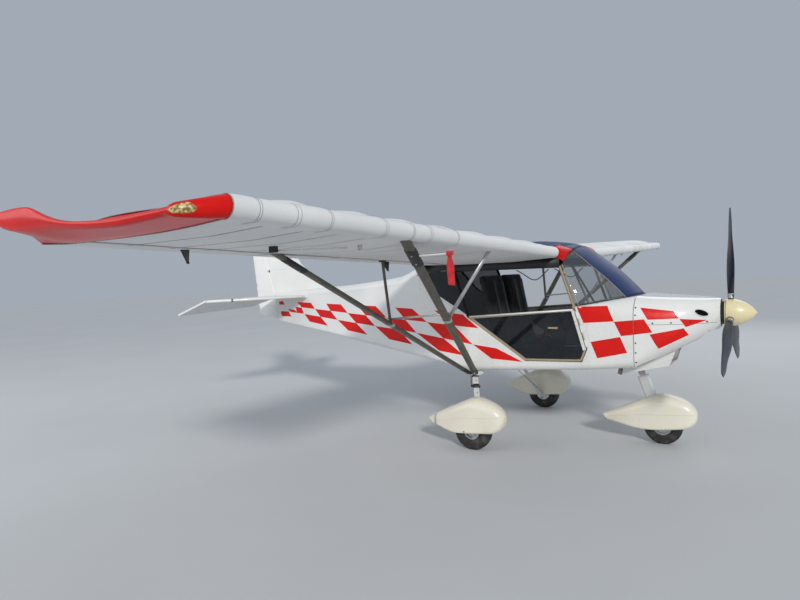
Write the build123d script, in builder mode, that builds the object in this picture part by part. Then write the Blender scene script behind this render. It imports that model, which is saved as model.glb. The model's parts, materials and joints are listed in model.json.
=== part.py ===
from build123d import *
import os
from math import atan2, cos, degrees, hypot, radians, sin

# Ultralight high-wing aircraft, millimetres, X forward, Y to the left, Z up.
# The origin is on the ground below the middle of the whole object.

os.makedirs("parts", exist_ok=True)

# Overall sizes
LENGTH = 5900.0
HALF_SPAN = 4270.0
TRACK = 1788.0
THRUST_Z = 1168.0
RUNNING = 0.05
SEAT_GAP = 0.3

# Stations, measured aft from the spinner tip
PROP_STATION = 189.0
SPINNER_BASE_STATION = 230.0
COWL_FACE_STATION = 257.0
NOSE_AXLE_STATION = 726.0
FIREWALL_STATION = 850.0
SCREEN_FOOT_STATION = 1311.0
WING_LE_STATION = 1436.0
MAIN_AXLE_STATION = 2145.0
SILL_POST_STATION = 2341.0
CABIN_END_STATION = 2942.0
TAIL_HINGE_STATION = LENGTH - 470.0

# Fuselage skins
CABIN_HALF = 550.0
COWL_WALL = 5.0
CABIN_WALL = 10.0
FIREWALL_THICK = 3.0
SCREEN_THICK = 5.0
WINDOW_THICK = 4.0

# Wing
CHORD = 1440.0
ROOT_Y = 565.0
TIP_Y = 4080.0
DIHEDRAL = 0.0397
WING_Z = 1705.0
TRAILING_DROP = 50.0
FLAP_CHORD = 330.0
FLAP_IN_Y = 605.0
FLAP_OUT_Y = 2845.0
AILERON_IN_Y = 2860.0
AILERON_OUT_Y = 4055.0
SURFACE_NOSE_R = 26.0
SURFACE_GAP = 9.0

# Hinge clevises of the control surfaces
HINGE_PLATE = 8.0
HINGE_SLOT = 22.0
HINGE_EYE_R = 9.0
HINGE_PIN_R = 4.0
HINGE_PIN_LENGTH = 52.0

# Wheels
MAIN_WHEEL_R = 172.0
NOSE_WHEEL_R = 160.0
TYRE_WIDTH = 98.0
RIM_R = 76.0
RIM_WIDTH = 88.0
AXLE_R = 10.0

# Propeller
PROP_R = 864.0
SPINNER_R = 110.0
SHAFT_R = 22.0
BLADE_LEAN = 2.9

# Tail
TAIL_Z = 1362.0
TAIL_THICK = 28.0
TAIL_HALF_SPAN = 1250.0
TORQUE_R = 14.0
ELEVATOR_DROOP = 20.0
RUDDER_RAKE = 15.8


def at(station):
    return LENGTH / 2 - station


def spot(station, y, z):
    return Vector(at(station), y, z)


def save(piece, name):
    piece.part.label = name
    export_step(piece.part, f"parts/{name}.step")
    return piece.part


def save_pair(piece, name):
    save(piece, f"{name}_right")
    with BuildPart() as twin:
        mirror(piece.part, about=Plane.XZ)
    save(twin, f"{name}_left")


def save_both(piece, name):
    with BuildPart() as both:
        add(piece.part)
        mirror(piece.part, about=Plane.XZ)
    save(both, name)


def cross_plane(station, y=0.0):
    return Plane(origin=(at(station), y, 0), x_dir=(0, 1, 0), z_dir=(1, 0, 0))


SIDE = Plane(origin=(0, 0, 0), x_dir=(1, 0, 0), z_dir=(0, -1, 0))


def side_points(rows):
    return [(at(station), z) for station, z in rows]


def line_plane(start, end):
    direction = (end - start).normalized()
    up = Vector(0, 0, 1) if abs(direction.Z) < 0.99 else Vector(1, 0, 0)
    return Plane(origin=start, x_dir=up.cross(direction), z_dir=direction)


# One body section: half width, bottom and top height, top and bottom corner radius
def body_section(station, half, bottom, top, top_r, bottom_r, wall=0.0, y=0.0):
    with BuildSketch(cross_plane(station, y)) as section:
        with BuildLine():
            Polyline(
                (-half + wall, bottom + wall),
                (half - wall, bottom + wall),
                (half - wall, top - wall),
                (-half + wall, top - wall),
                close=True,
            )
        make_face()
        fillet(section.vertices().group_by(Axis.Y)[-1], max(top_r - wall, 4))
        fillet(section.vertices().group_by(Axis.Y)[0], max(bottom_r - wall, 4))
    return section.sketch


def body_loft(rows, wall=0.0, ruled=True, mode=Mode.ADD):
    loft([body_section(*row, wall=wall) for row in rows], ruled=ruled, mode=mode)


def tube_between(start, end, radius, bore=0.0):
    with BuildSketch(line_plane(start, end)) as ring:
        Circle(radius)
        if bore:
            Circle(bore, mode=Mode.SUBTRACT)
    extrude(ring.sketch, amount=(end - start).length)


def slot_between(start, end, width, thickness):
    with BuildSketch(line_plane(start, end)) as slot:
        SlotOverall(width, thickness)
    extrude(slot.sketch, amount=(end - start).length)


# Carrier side of hinges: plate and cross pin, on planes whose z lies along the
# hinge axis and whose x points at the carrier
def hinge_brackets(planes, reach):
    for plane in planes:
        with BuildSketch(plane.offset(-HINGE_PLATE / 2)) as plate:
            Circle(HINGE_EYE_R)
            with Locations((reach / 2, 0)):
                Rectangle(reach, 2 * HINGE_EYE_R)
        extrude(plate.sketch, amount=HINGE_PLATE)
        with BuildSketch(plane.offset(-HINGE_PIN_LENGTH / 2)) as pin:
            Circle(HINGE_PIN_R)
        extrude(pin.sketch, amount=HINGE_PIN_LENGTH)


# Moving side of hinges: slot round the plate and bore for the pin
def hinge_slots(planes, clear_r):
    for plane in planes:
        with BuildSketch(plane.offset(-HINGE_SLOT / 2)) as room:
            Circle(clear_r)
        extrude(room.sketch, amount=HINGE_SLOT, mode=Mode.SUBTRACT)
        with BuildSketch(plane.offset(-HINGE_PIN_LENGTH / 2 - 1)) as bore:
            Circle(HINGE_PIN_R + RUNNING)
        extrude(bore.sketch, amount=HINGE_PIN_LENGTH + 2, mode=Mode.SUBTRACT)


# Cowl: station, half width, bottom, top, top radius, bottom radius
COWL_ROWS = [
    (COWL_FACE_STATION, 120, 1048, 1288, 115, 115),
    (360, 268, 985, 1297, 145, 130),
    (520, 385, 900, 1306, 175, 150),
    (FIREWALL_STATION, 505, 736, 1330, 190, 80),
]
COWL_SPLIT_Z = 1100.0
INTAKE_HALF = 200.0
INTAKE_TOP = 1035.0
INTAKE_END_STATION = 640.0


def cowl_shell():
    body_loft(COWL_ROWS, ruled=False)
    body_loft(COWL_ROWS, wall=COWL_WALL, ruled=False, mode=Mode.SUBTRACT)


with BuildPart() as upper_cowl:
    cowl_shell()
    split(bisect_by=Plane.XY.offset(COWL_SPLIT_Z + SEAT_GAP / 2), keep=Keep.TOP)
    with BuildSketch(SIDE.offset(-500)):
        with Locations((at(375), 1185)):
            Ellipse(48, 22, rotation=-25)
    extrude(amount=1000, mode=Mode.SUBTRACT)
save(upper_cowl, "upper_cowl")

with BuildPart() as lower_cowl:
    cowl_shell()
    split(bisect_by=Plane.XY.offset(COWL_SPLIT_Z - SEAT_GAP / 2), keep=Keep.BOTTOM)
    with BuildSketch(Plane.XY.offset(INTAKE_TOP)):
        with Locations((at((INTAKE_END_STATION + 200) / 2), 0)):
            Rectangle(INTAKE_END_STATION - 200, 2 * INTAKE_HALF)
    extrude(amount=-500, mode=Mode.SUBTRACT)
save(lower_cowl, "lower_cowl")

# Chin scoop below the cowl: an open duct with a radiator ahead of it
SCOOP_HALF = 190.0
SCOOP_WALL = 5.0
LEG_SLOT_HALF = 75.0
LEG_SLOT_STATION = 800.0
SCOOP_SIDE = [(590, 860), (636, 727), (1014, 633), (1014, 724.4), (FIREWALL_STATION, 735.6), (640, 830)]
SCOOP_HOLLOW = [(560, 1000), (620, 737), (1100, 617), (1100, 800)]

with BuildPart() as chin_scoop:
    with BuildSketch(SIDE.offset(-SCOOP_HALF)):
        with BuildLine():
            Polyline(*side_points(SCOOP_SIDE), close=True)
        make_face()
    extrude(amount=2 * SCOOP_HALF)
    with BuildSketch(SIDE.offset(-SCOOP_HALF + SCOOP_WALL)):
        with BuildLine():
            Polyline(*side_points(SCOOP_HOLLOW), close=True)
        make_face()
    extrude(amount=2 * (SCOOP_HALF - SCOOP_WALL), mode=Mode.SUBTRACT)
    with BuildSketch(Plane.XY.offset(600)):
        with Locations((at(LEG_SLOT_STATION + 150), 0)):
            Rectangle(300, 2 * LEG_SLOT_HALF)
    extrude(amount=200, mode=Mode.SUBTRACT)
save(chin_scoop, "chin_scoop")

# Engine as one plain block, its mount, the shaft and the firewall
ENGINE_FRONT_STATION = 330.0
ENGINE_REAR_STATION = 780.0
ENGINE_HALF = 190.0
ENGINE_Z = (1000.0, 1240.0)
MOUNT_TUBE_R = 11.0

with BuildPart() as engine:
    with BuildSketch(cross_plane(ENGINE_REAR_STATION)):
        with Locations((0, sum(ENGINE_Z) / 2)):
            Rectangle(2 * ENGINE_HALF, ENGINE_Z[1] - ENGINE_Z[0])
    extrude(amount=ENGINE_REAR_STATION - ENGINE_FRONT_STATION - 90)
    with BuildSketch(cross_plane(ENGINE_FRONT_STATION + 90)):
        with Locations((0, THRUST_Z)):
            Circle(70)
    extrude(amount=90)
    with BuildSketch(cross_plane(ENGINE_FRONT_STATION)):
        with Locations((0, THRUST_Z)):
            Circle(SHAFT_R)
    extrude(amount=ENGINE_FRONT_STATION - PROP_STATION + 30)
    for y in (-150, 150):
        for z in (1040, 1200):
            tube_between(
                spot(FIREWALL_STATION - SEAT_GAP, y, z), spot(ENGINE_REAR_STATION, y, z), MOUNT_TUBE_R
            )
save(engine, "engine")

with BuildPart() as radiator:
    with BuildSketch(cross_plane(700)):
        with Locations((0, 926)):
            Rectangle(2 * INTAKE_HALF - 40, 148 - 2 * SEAT_GAP)
    extrude(amount=50)
save(radiator, "radiator")

with BuildPart() as firewall:
    extrude(
        body_section(FIREWALL_STATION + SEAT_GAP, *COWL_ROWS[-1][1:]),
        amount=-FIREWALL_THICK + SEAT_GAP,
    )
save(firewall, "firewall")

# Cabin tub: station, half width, bottom, top, top radius, bottom radius
DECK_ROWS = [
    (FIREWALL_STATION + FIREWALL_THICK, 505, 736, 1330, 190, 80),
    (1200, CABIN_HALF, 711.8, 1277.7, 69, 57),
    (SCREEN_FOOT_STATION, CABIN_HALF, 704, 1261, 30, 50),
]
CABIN_ROWS = [
    (SCREEN_FOOT_STATION, CABIN_HALF, 704, 1735, 120, 50),
    (SILL_POST_STATION, CABIN_HALF, 640, 1735, 120, 50),
    (CABIN_END_STATION, 449, 724, 1700, 120, 40),
]
DOOR_EDGE = [(1311, 1240), (1214, 894), (1262, 778), (1778, 762), (SILL_POST_STATION, 1148)]
TUB_EDGE = [(SILL_POST_STATION, 1148), (2523, 1249), (2749, 1371), (CABIN_END_STATION, 1608)]

# Windscreen arcs: centre station and height, side station and height, half width
SCREEN_ARCS = [
    (864, 1329.0, 1308, 1262.0, 546),
    (1160, 1566.0, 1362, 1438.0, 549),
    (1488, 1751.0, 1418, 1616.0, 549),
]


def arc_plane(centre_station, centre_z, foot_station, foot_z, lift=0.0):
    foot = spot(foot_station, 0, foot_z)
    rise = (spot(centre_station, 0, centre_z) - foot).normalized()
    normal = Vector(0, 1, 0).cross(rise)
    return Plane(origin=foot + normal * lift, x_dir=(0, 1, 0), z_dir=normal)


def arc_rise(centre_station, centre_z, foot_station, foot_z):
    return hypot(centre_station - foot_station, centre_z - foot_z)


def arc_band(plane, half, rise, thick):
    with BuildSketch(plane) as band:
        with BuildLine():
            outer = ThreePointArc((-half, 0), (0, rise), (half, 0))
            inner = ThreePointArc((-half + thick, 0), (0, rise - thick), (half - thick, 0))
            Line(outer @ 0, inner @ 0)
            Line(outer @ 1, inner @ 1)
        make_face()
    return band.sketch


def cabin_skin(wall):
    body_loft(CABIN_ROWS)
    body_loft(CABIN_ROWS, wall=wall, mode=Mode.SUBTRACT)


def side_cut(rows, mode=Mode.SUBTRACT):
    with BuildSketch(SIDE.offset(-700)) as outline:
        with BuildLine():
            Polyline(*side_points(rows), close=True)
        make_face()
    extrude(outline.sketch, amount=1400, mode=mode)


DOOR_SKIN_Y = -CABIN_HALF
DOOR_THICK = 14.0
HINGE_LINE = [(1221, 912), (1306, 1215)]
KNUCKLE_R = 5.0
KNUCKLE_PIN_R = 2.0
KNUCKLE_SHARE = 0.97
LEAF_WIDTH = 24.0
LEAF_THICK = 2.0
hinge_low = spot(HINGE_LINE[0][0], DOOR_SKIN_Y - KNUCKLE_R - 1, HINGE_LINE[0][1])
hinge_high = spot(HINGE_LINE[1][0], DOOR_SKIN_Y - KNUCKLE_R - 1, HINGE_LINE[1][1])
hinge_step = (hinge_high - hinge_low) / 5


def mirrored(place, side):
    return Vector(place.X, -side * place.Y, place.Z)


def hinge_leaf(low, high, width):
    side = 1 if low.Y > 0 else -1
    low, high = low + (high - low) * 0.1, high + (low - high) * 0.1
    with BuildSketch(SIDE.offset(-side * CABIN_HALF)) as leaf:
        with BuildLine():
            Polyline(
                (low.X, low.Z), (high.X, high.Z), (high.X + width, high.Z), (low.X + width, low.Z), close=True
            )
        make_face()
    extrude(leaf.sketch, amount=-side * LEAF_THICK)


with BuildPart() as cabin_tub:
    body_loft(DECK_ROWS)
    body_loft(DECK_ROWS, wall=CABIN_WALL, mode=Mode.SUBTRACT)
    cabin_skin(CABIN_WALL)
    side_cut(DOOR_EDGE + [(SILL_POST_STATION, 1900), (1311, 1900)])
    side_cut(TUB_EDGE + [(CABIN_END_STATION, 1900), (SILL_POST_STATION - 1, 1900)])
    foot_arc = SCREEN_ARCS[0]
    with BuildSketch(arc_plane(*foot_arc[:4], lift=-80)):
        with BuildLine():
            half = foot_arc[4] - SCREEN_THICK - 3
            rise = arc_rise(*foot_arc[:4]) - SCREEN_THICK - 3
            ThreePointArc((-half, 0), (0, rise), (half, 0))
            Line((half, 0), (-half, 0))
        make_face()
    extrude(amount=160, mode=Mode.SUBTRACT)
    for side in (-1, 1):
        for number in (0, 2, 4):
            low = hinge_low + hinge_step * number
            low, high = (mirrored(end, side) for end in (low, low + hinge_step * KNUCKLE_SHARE))
            tube_between(low, high, KNUCKLE_R, bore=KNUCKLE_PIN_R + RUNNING)
            hinge_leaf(low, high, LEAF_WIDTH)
save(cabin_tub, "cabin_tub")

with BuildPart() as windscreen:
    bands = []
    for number, (station, z, foot_station, foot_z, half) in enumerate(SCREEN_ARCS):
        plane = arc_plane(station, z, foot_station, foot_z, lift=0.0 if number else -SEAT_GAP)
        bands.append(arc_band(plane, half, arc_rise(station, z, foot_station, foot_z), SCREEN_THICK))
    loft(bands)
save(windscreen, "windscreen")

# Roof sheet between the wings: side station, side height, crown station and height, half width
ROOF_ARCS = [
    (1488, 1751.0, 1418, 1616.0, 549),
    (1700, 1798.0, 1700, 1690.0, 556),
    (2300, 1775.0, 2300, 1680.0, 556),
    (2872, 1702.0, 2872, 1640.0, 552),
]
RAIL_Y = 526.0
RAIL_Z = 1607.0
RAIL_R = 12.0
POST_R = 13.0

with BuildPart() as roof_sheet:
    bands = []
    for number, (station, z, foot_station, foot_z, half) in enumerate(ROOF_ARCS):
        plane = arc_plane(station, z, foot_station, foot_z, lift=0.0 if number else -SEAT_GAP)
        bands.append(arc_band(plane, half, arc_rise(station, z, foot_station, foot_z), WINDOW_THICK))
    loft(bands, ruled=True)
save(roof_sheet, "roof_sheet")

with BuildPart() as quarter_window:
    cabin_skin(WINDOW_THICK)
    lifted = [(station, z + SEAT_GAP) for station, z in TUB_EDGE]
    side_cut(lifted + [(CABIN_END_STATION, 1655), (2515, 1655)], mode=Mode.INTERSECT)
    split(bisect_by=Plane.XZ, keep=Keep.TOP)
save_both(quarter_window, "quarter_windows")

# Cabin frame tubes: posts, roof rails, cross tubes and screen braces
FRONT_POST = [(1326, 524, 1250), (1444, RAIL_Y, RAIL_Z)]
REAR_POST = [(2354, 524.2, 1142), (2502, 497, RAIL_Z)]
RAIL_LINE = [(1444, RAIL_Y), (SILL_POST_STATION, RAIL_Y), (2925, 425)]

with BuildPart() as cabin_frame:
    for side in (-1, 1):
        for (low_station, low_y, low_z), (high_station, high_y, high_z) in (FRONT_POST, REAR_POST):
            tube_between(
                spot(low_station, side * low_y, low_z),
                spot(high_station, side * high_y, high_z),
                POST_R,
            )
        for (start_station, start_y), (end_station, end_y) in zip(RAIL_LINE, RAIL_LINE[1:]):
            tube_between(
                spot(start_station, side * start_y, RAIL_Z),
                spot(end_station, side * end_y, RAIL_Z),
                RAIL_R,
            )
    for station in (1500, 2300):
        tube_between(spot(station, -RAIL_Y, RAIL_Z), spot(station, RAIL_Y, RAIL_Z), RAIL_R)
    tube_between(spot(1323.4, -549, 1250), spot(1323.4, 549, 1250), RAIL_R)
    for y in (-90, 90):
        tube_between(spot(1323.4, y, 1250), spot(1500, y / 9, RAIL_Z), 9)
save(cabin_frame, "cabin_frame")

# Rear fuselage and tail
REAR_ROWS = [
    (CABIN_END_STATION + SEAT_GAP, 449, 724, 1700, 120, 40),
    (LENGTH - 1467, 200, 915, 1583, 110, 30),
    (LENGTH - 380, 28, 1054, 1395, 20, 14),
]
REAR_WALL = 8.0
REAR_HOLLOW_STATION = LENGTH - 570.0
RUDDER_FOOT = (TAIL_HINGE_STATION + 1, 1062.0)
POST_SETBACK = 22.0
RUDDER_TOP_Z = 2215.0
RUDDER_NOSE_R = 14.0
RUDDER_THICK = 20.0
FIN_THICK = 30.0
RUDDER_HINGE_Z = (RUDDER_FOOT[1] + 68, 1700.0, RUDDER_TOP_Z - 95)
POST_LOW_Z = RUDDER_FOOT[1] - 160
POST_HIGH_Z = REAR_ROWS[-1][3] + 105
RAKE_SLOPE = sin(radians(RUDDER_RAKE)) / cos(radians(RUDDER_RAKE))


def rudder_station(z):
    return RUDDER_FOOT[0] + (z - RUDDER_FOOT[1]) * RAKE_SLOPE


def rudder_plane(z):
    tilt = radians(RUDDER_RAKE)
    return Plane(
        origin=spot(rudder_station(z), 0, z),
        x_dir=(cos(tilt), 0, sin(tilt)),
        z_dir=(-sin(tilt), 0, cos(tilt)),
    )


def ridge_z(station):
    share = (station - REAR_ROWS[1][0]) / (REAR_ROWS[2][0] - REAR_ROWS[1][0])
    return REAR_ROWS[1][3] + share * (REAR_ROWS[2][3] - REAR_ROWS[1][3])


def between_rows(front, rear, station):
    share = (station - front[0]) / (rear[0] - front[0])
    return tuple(a + share * (b - a) for a, b in zip(front, rear))


with BuildPart() as rear_fuselage:
    body_loft(REAR_ROWS)
    hollow = [
        between_rows(*REAR_ROWS[:2], CABIN_END_STATION + REAR_WALL),
        REAR_ROWS[1],
        between_rows(*REAR_ROWS[1:], REAR_HOLLOW_STATION),
    ]
    body_loft(hollow, wall=REAR_WALL, mode=Mode.SUBTRACT)
    side_cut(
        [
            (rudder_station(POST_LOW_Z) - POST_SETBACK, POST_LOW_Z),
            (rudder_station(POST_HIGH_Z) - POST_SETBACK, POST_HIGH_Z),
            (LENGTH, POST_HIGH_Z),
            (LENGTH, POST_LOW_Z),
        ]
    )
    with BuildSketch(SIDE.offset(-200)):
        with Locations((at(TAIL_HINGE_STATION), TAIL_Z)):
            Circle(TORQUE_R + RUNNING)
    extrude(amount=400, mode=Mode.SUBTRACT)
    hinge_brackets([rudder_plane(RUDDER_HINGE_Z[0])], POST_SETBACK + 4)
save(rear_fuselage, "rear_fuselage")

FIN_EDGE = [(LENGTH - 1176, 1674), (LENGTH - 874, 1801), (LENGTH - 480, RUDDER_TOP_Z)]
FIN_START = LENGTH - 1450
fin_end_z = ridge_z(rudder_station(REAR_ROWS[-1][3]) - POST_SETBACK) + SEAT_GAP

with BuildPart() as fin:
    with BuildSketch(SIDE.offset(-FIN_THICK / 2)):
        with BuildLine():
            Polyline(
                *side_points(
                    [(FIN_START, ridge_z(FIN_START) + SEAT_GAP)]
                    + FIN_EDGE
                    + [
                        (rudder_station(RUDDER_TOP_Z) - POST_SETBACK, RUDDER_TOP_Z),
                        (rudder_station(fin_end_z) - POST_SETBACK, fin_end_z),
                    ]
                ),
                close=True,
            )
        make_face()
    extrude(amount=FIN_THICK)
    hinge_brackets([rudder_plane(z) for z in RUDDER_HINGE_Z[1:]], POST_SETBACK + 4)
save(fin, "fin")

with BuildPart() as rudder:
    with BuildSketch(SIDE.offset(-RUDDER_THICK / 2)):
        with BuildLine():
            Polyline(
                *side_points(
                    [
                        RUDDER_FOOT,
                        (rudder_station(RUDDER_TOP_Z), RUDDER_TOP_Z),
                        (LENGTH, RUDDER_TOP_Z),
                        (LENGTH - 16, RUDDER_TOP_Z - 307),
                        (LENGTH - 99, RUDDER_FOOT[1] + 68),
                    ]
                ),
                close=True,
            )
        make_face()
    extrude(amount=RUDDER_THICK)
    tube_between(
        spot(rudder_station(RUDDER_FOOT[1] + 4), 0, RUDDER_FOOT[1] + 4),
        spot(rudder_station(RUDDER_TOP_Z - 4), 0, RUDDER_TOP_Z - 4),
        RUDDER_NOSE_R,
    )
    hinge_slots([rudder_plane(z) for z in RUDDER_HINGE_Z], RUDDER_NOSE_R + 7)
save(rudder, "rudder")

# Stabiliser halves and the one-piece elevator, which hangs at its down stop
STAB_GAP = 8.0
STAB_OUT_Y = 1180.0
ELEVATOR_IN_Y = 52.0
ELEVATOR_HINGE_Y = 700.0
ELEVATOR_THICK = 20.0
ELEVATOR_EDGE = [(0, 1190), (455, TAIL_HALF_SPAN), (330, 205)]
droop = radians(ELEVATOR_DROOP)


def fuselage_half(station):
    share = (station - REAR_ROWS[1][0]) / (REAR_ROWS[2][0] - REAR_ROWS[1][0])
    return REAR_ROWS[1][1] + share * (REAR_ROWS[2][1] - REAR_ROWS[1][1])


def tail_hinge_plane(y):
    return Plane(origin=spot(TAIL_HINGE_STATION, y, TAIL_Z), x_dir=(1, 0, 0), z_dir=(0, -1, 0))


STAB_END_STATION = TAIL_HINGE_STATION - TORQUE_R - STAB_GAP
STAB_START_STATION = LENGTH - 1108
STAB_EDGE = [
    (STAB_START_STATION, -fuselage_half(STAB_START_STATION) - SEAT_GAP),
    (STAB_END_STATION, -fuselage_half(STAB_END_STATION) - SEAT_GAP),
    (STAB_END_STATION, -STAB_OUT_Y),
    (STAB_END_STATION - 14, -STAB_OUT_Y),
]

with BuildPart() as stabiliser:
    with BuildSketch(Plane.XY.offset(TAIL_Z - TAIL_THICK / 2)):
        with BuildLine():
            Polyline(*side_points(STAB_EDGE), close=True)
        make_face()
    extrude(amount=TAIL_THICK)
    hinge_brackets([tail_hinge_plane(-ELEVATOR_HINGE_Y)], TORQUE_R + STAB_GAP + 5)
save_both(stabiliser, "stabiliser")

with BuildPart() as elevator:
    elevator_plane = Plane(
        origin=spot(TAIL_HINGE_STATION, 0, TAIL_Z),
        x_dir=(-cos(droop), 0, -sin(droop)),
        z_dir=(-sin(droop), 0, cos(droop)),
    )
    with BuildSketch(elevator_plane.offset(-ELEVATOR_THICK / 2)):
        for side in (-1, 1):
            with BuildLine():
                Polyline(
                    (0, side * ELEVATOR_IN_Y),
                    *[(u, side * y) for u, y in ELEVATOR_EDGE],
                    close=True,
                )
            make_face()
    extrude(amount=ELEVATOR_THICK)
    tube_between(
        spot(TAIL_HINGE_STATION, -1188, TAIL_Z), spot(TAIL_HINGE_STATION, 1188, TAIL_Z), TORQUE_R
    )
    hinge_slots([tail_hinge_plane(y) for y in (-ELEVATOR_HINGE_Y, ELEVATOR_HINGE_Y)], TORQUE_R + 7)
save(elevator, "elevator")

# Wing panels, control surfaces and tips, made on the right and mirrored.
# The wing plane has z outboard along the span, x forward and y up.
slant = atan2(DIHEDRAL, 1.0)
WING = Plane(origin=(0, 0, WING_Z), x_dir=(1, 0, 0), z_dir=(0, -cos(slant), sin(slant)))
HINGE_U = CHORD - FLAP_CHORD
HINGE_W = 4.0
PANEL_END_U = HINGE_U - SURFACE_NOSE_R - SURFACE_GAP
NOSE_U = 60.0
NOSE_UP = 48.0
NOSE_DOWN = -42.0
CREST_U = 430.0
CREST_UP = 105.0
CREST_DOWN = -50.0
END_UP = 44.0
END_DOWN = -30.0


def foil(u, w):
    return (at(WING_LE_STATION) - u, w - TRAILING_DROP * u / CHORD)


def wing_point(u, w, v):
    x, y = foil(u, w)
    return WING.from_local_coords(Vector(x, y, v))


def panel_profile(v):
    with BuildSketch(WING.offset(v)) as profile:
        with BuildLine():
            ThreePointArc(foil(NOSE_U, NOSE_DOWN), foil(0, 0), foil(NOSE_U, NOSE_UP))
            ThreePointArc(foil(NOSE_U, NOSE_UP), foil(220, 89), foil(CREST_U, CREST_UP))
            ThreePointArc(foil(CREST_U, CREST_UP), foil(780, 88), foil(PANEL_END_U, END_UP))
            Polyline(
                foil(PANEL_END_U, END_UP),
                foil(PANEL_END_U, END_DOWN),
                foil(CREST_U, CREST_DOWN),
                foil(NOSE_U, NOSE_DOWN),
            )
        make_face()
    return profile.sketch


def surface_profile(v):
    with BuildSketch(WING.offset(v)) as profile:
        with BuildLine():
            Polyline(
                foil(HINGE_U, HINGE_W + SURFACE_NOSE_R),
                foil(CHORD, 3),
                foil(CHORD, -3),
                foil(HINGE_U, HINGE_W - SURFACE_NOSE_R),
                close=True,
            )
        make_face()
        with Locations(foil(HINGE_U, HINGE_W)):
            Circle(SURFACE_NOSE_R)
    return profile.sketch


def wing_hinge_plane(v):
    return Plane(origin=wing_point(HINGE_U, HINGE_W, v), x_dir=(1, 0, 0), z_dir=WING.z_dir)


FLAP_HINGES = (760.0, 1720.0, 2700.0)
AILERON_HINGES = (3020.0, 3900.0)

with BuildPart() as wing:
    extrude(panel_profile(ROOT_Y), amount=TIP_Y - ROOT_Y)
    hinge_brackets(
        [wing_hinge_plane(v) for v in FLAP_HINGES + AILERON_HINGES],
        SURFACE_NOSE_R + SURFACE_GAP + 6,
    )
save_pair(wing, "wing")

for name, inner, outer, hinges in (
    ("flap", FLAP_IN_Y, FLAP_OUT_Y, FLAP_HINGES),
    ("aileron", AILERON_IN_Y, AILERON_OUT_Y, AILERON_HINGES),
):
    with BuildPart() as surface:
        extrude(surface_profile(inner), amount=outer - inner)
        hinge_slots([wing_hinge_plane(v) for v in hinges], SURFACE_NOSE_R + 7)
    save_pair(surface, name)

# Tip sections: span, nose (u, w), upper front (u, w), upper middle, tail top, tail bottom,
# lower middle, lower front
TIP_ROWS = [
    (TIP_Y + SEAT_GAP, (0, 0), (60, 48), (600, 104), (1440, 3), (1440, -3), (700, -40), (60, -42)),
    ((TIP_Y + HALF_SPAN) / 2, (30, -8), (90, 26), (620, 52), (1500, 84), (1500, 22), (700, -34), (90, -40)),
    (HALF_SPAN, (100, -18), (140, 4), (700, 6), (1560, 182), (1560, 46), (700, -22), (140, -32)),
]

with BuildPart() as wing_tip:
    sections = []
    for v, nose, up_front, up_middle, tail_top, tail_bottom, low_middle, low_front in TIP_ROWS:
        with BuildSketch(WING.offset(v)) as section:
            with BuildLine():
                ThreePointArc(foil(*low_front), foil(*nose), foil(*up_front))
                ThreePointArc(foil(*up_front), foil(*up_middle), foil(*tail_top))
                Line(foil(*tail_top), foil(*tail_bottom))
                ThreePointArc(foil(*tail_bottom), foil(*low_middle), foil(*low_front))
            make_face()
        sections.append(section.sketch)
    loft(sections)
save_both(wing_tip, "wing_tips")


# Fairings over the wing roots' leading edges: span, bottom, nose and top (u, w)
ROOT_FAIRING_ROWS = [
    (ROOT_Y - SEAT_GAP, (NOSE_U, NOSE_DOWN), (0, 0), (NOSE_U, NOSE_UP)),
    (ROOT_Y - 75, (20, -46), (-50, 6), (54, 60)),
    (ROOT_Y - 145, (-24, -50), (-86, 13), (44, 70)),
    (ROOT_Y - 190, (0, -25), (-24, 4), (50, 30)),
]

with BuildPart() as root_fairing:
    sections = []
    for v, low, nose, high in ROOT_FAIRING_ROWS:
        with BuildSketch(WING.offset(v)) as section:
            with BuildLine():
                ThreePointArc(foil(*low), foil(*nose), foil(*high))
                Line(foil(*high), foil(*low))
            make_face()
        sections.append(section.sketch)
    loft(sections, ruled=True)
save_both(root_fairing, "root_fairings")


def under_wing(front, rear, gap=SEAT_GAP):
    start = wing_point(*front, 0)
    along = wing_point(*rear, 0) - start
    normal = Vector(*WING.z_dir).cross(along.normalized())
    if normal.Z < 0:
        normal = normal * -1
    return Plane(origin=start - normal * gap, x_dir=along, z_dir=normal)


UNDER_FRONT = under_wing((NOSE_U, NOSE_DOWN), (CREST_U, CREST_DOWN), gap=2.8)
UNDER_REAR = under_wing((CREST_U, CREST_DOWN), (PANEL_END_U, END_DOWN))

# Lift struts, their foot on the belly and the jury struts
FOOT_STATIONS = (2244.0, 2378.0)
FOOT_Y = (-440.0, -565.0)
FOOT_Z = (604.0, 639.7)
STRUT_WIDTH = 62.0
STRUT_THICK = 28.0
FRONT_STRUT = [spot(2277, -565, 622), spot(1498, -2870, 1780)]
REAR_STRUT = [spot(2344, -565, 622), spot(2466, -2930, 1772)]

with BuildPart() as strut_foot:
    with Locations(spot(sum(FOOT_STATIONS) / 2, sum(FOOT_Y) / 2, sum(FOOT_Z) / 2)):
        Box(FOOT_STATIONS[1] - FOOT_STATIONS[0], FOOT_Y[0] - FOOT_Y[1], FOOT_Z[1] - FOOT_Z[0])
save_both(strut_foot, "strut_feet")


def lift_strut(ends, under):
    start, end = ends
    reach = (end - start).normalized() * 60
    slot_between(start - reach, end + reach, STRUT_WIDTH, STRUT_THICK)
    split(bisect_by=Plane.XZ.offset(-FOOT_Y[1] + SEAT_GAP), keep=Keep.TOP)
    split(bisect_by=under, keep=Keep.BOTTOM)


with BuildPart() as front_strut:
    lift_strut(FRONT_STRUT, UNDER_FRONT)
save_both(front_strut, "front_struts")

with BuildPart() as rear_strut:
    lift_strut(REAR_STRUT, UNDER_REAR)
save_both(rear_strut, "rear_struts")

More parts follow.
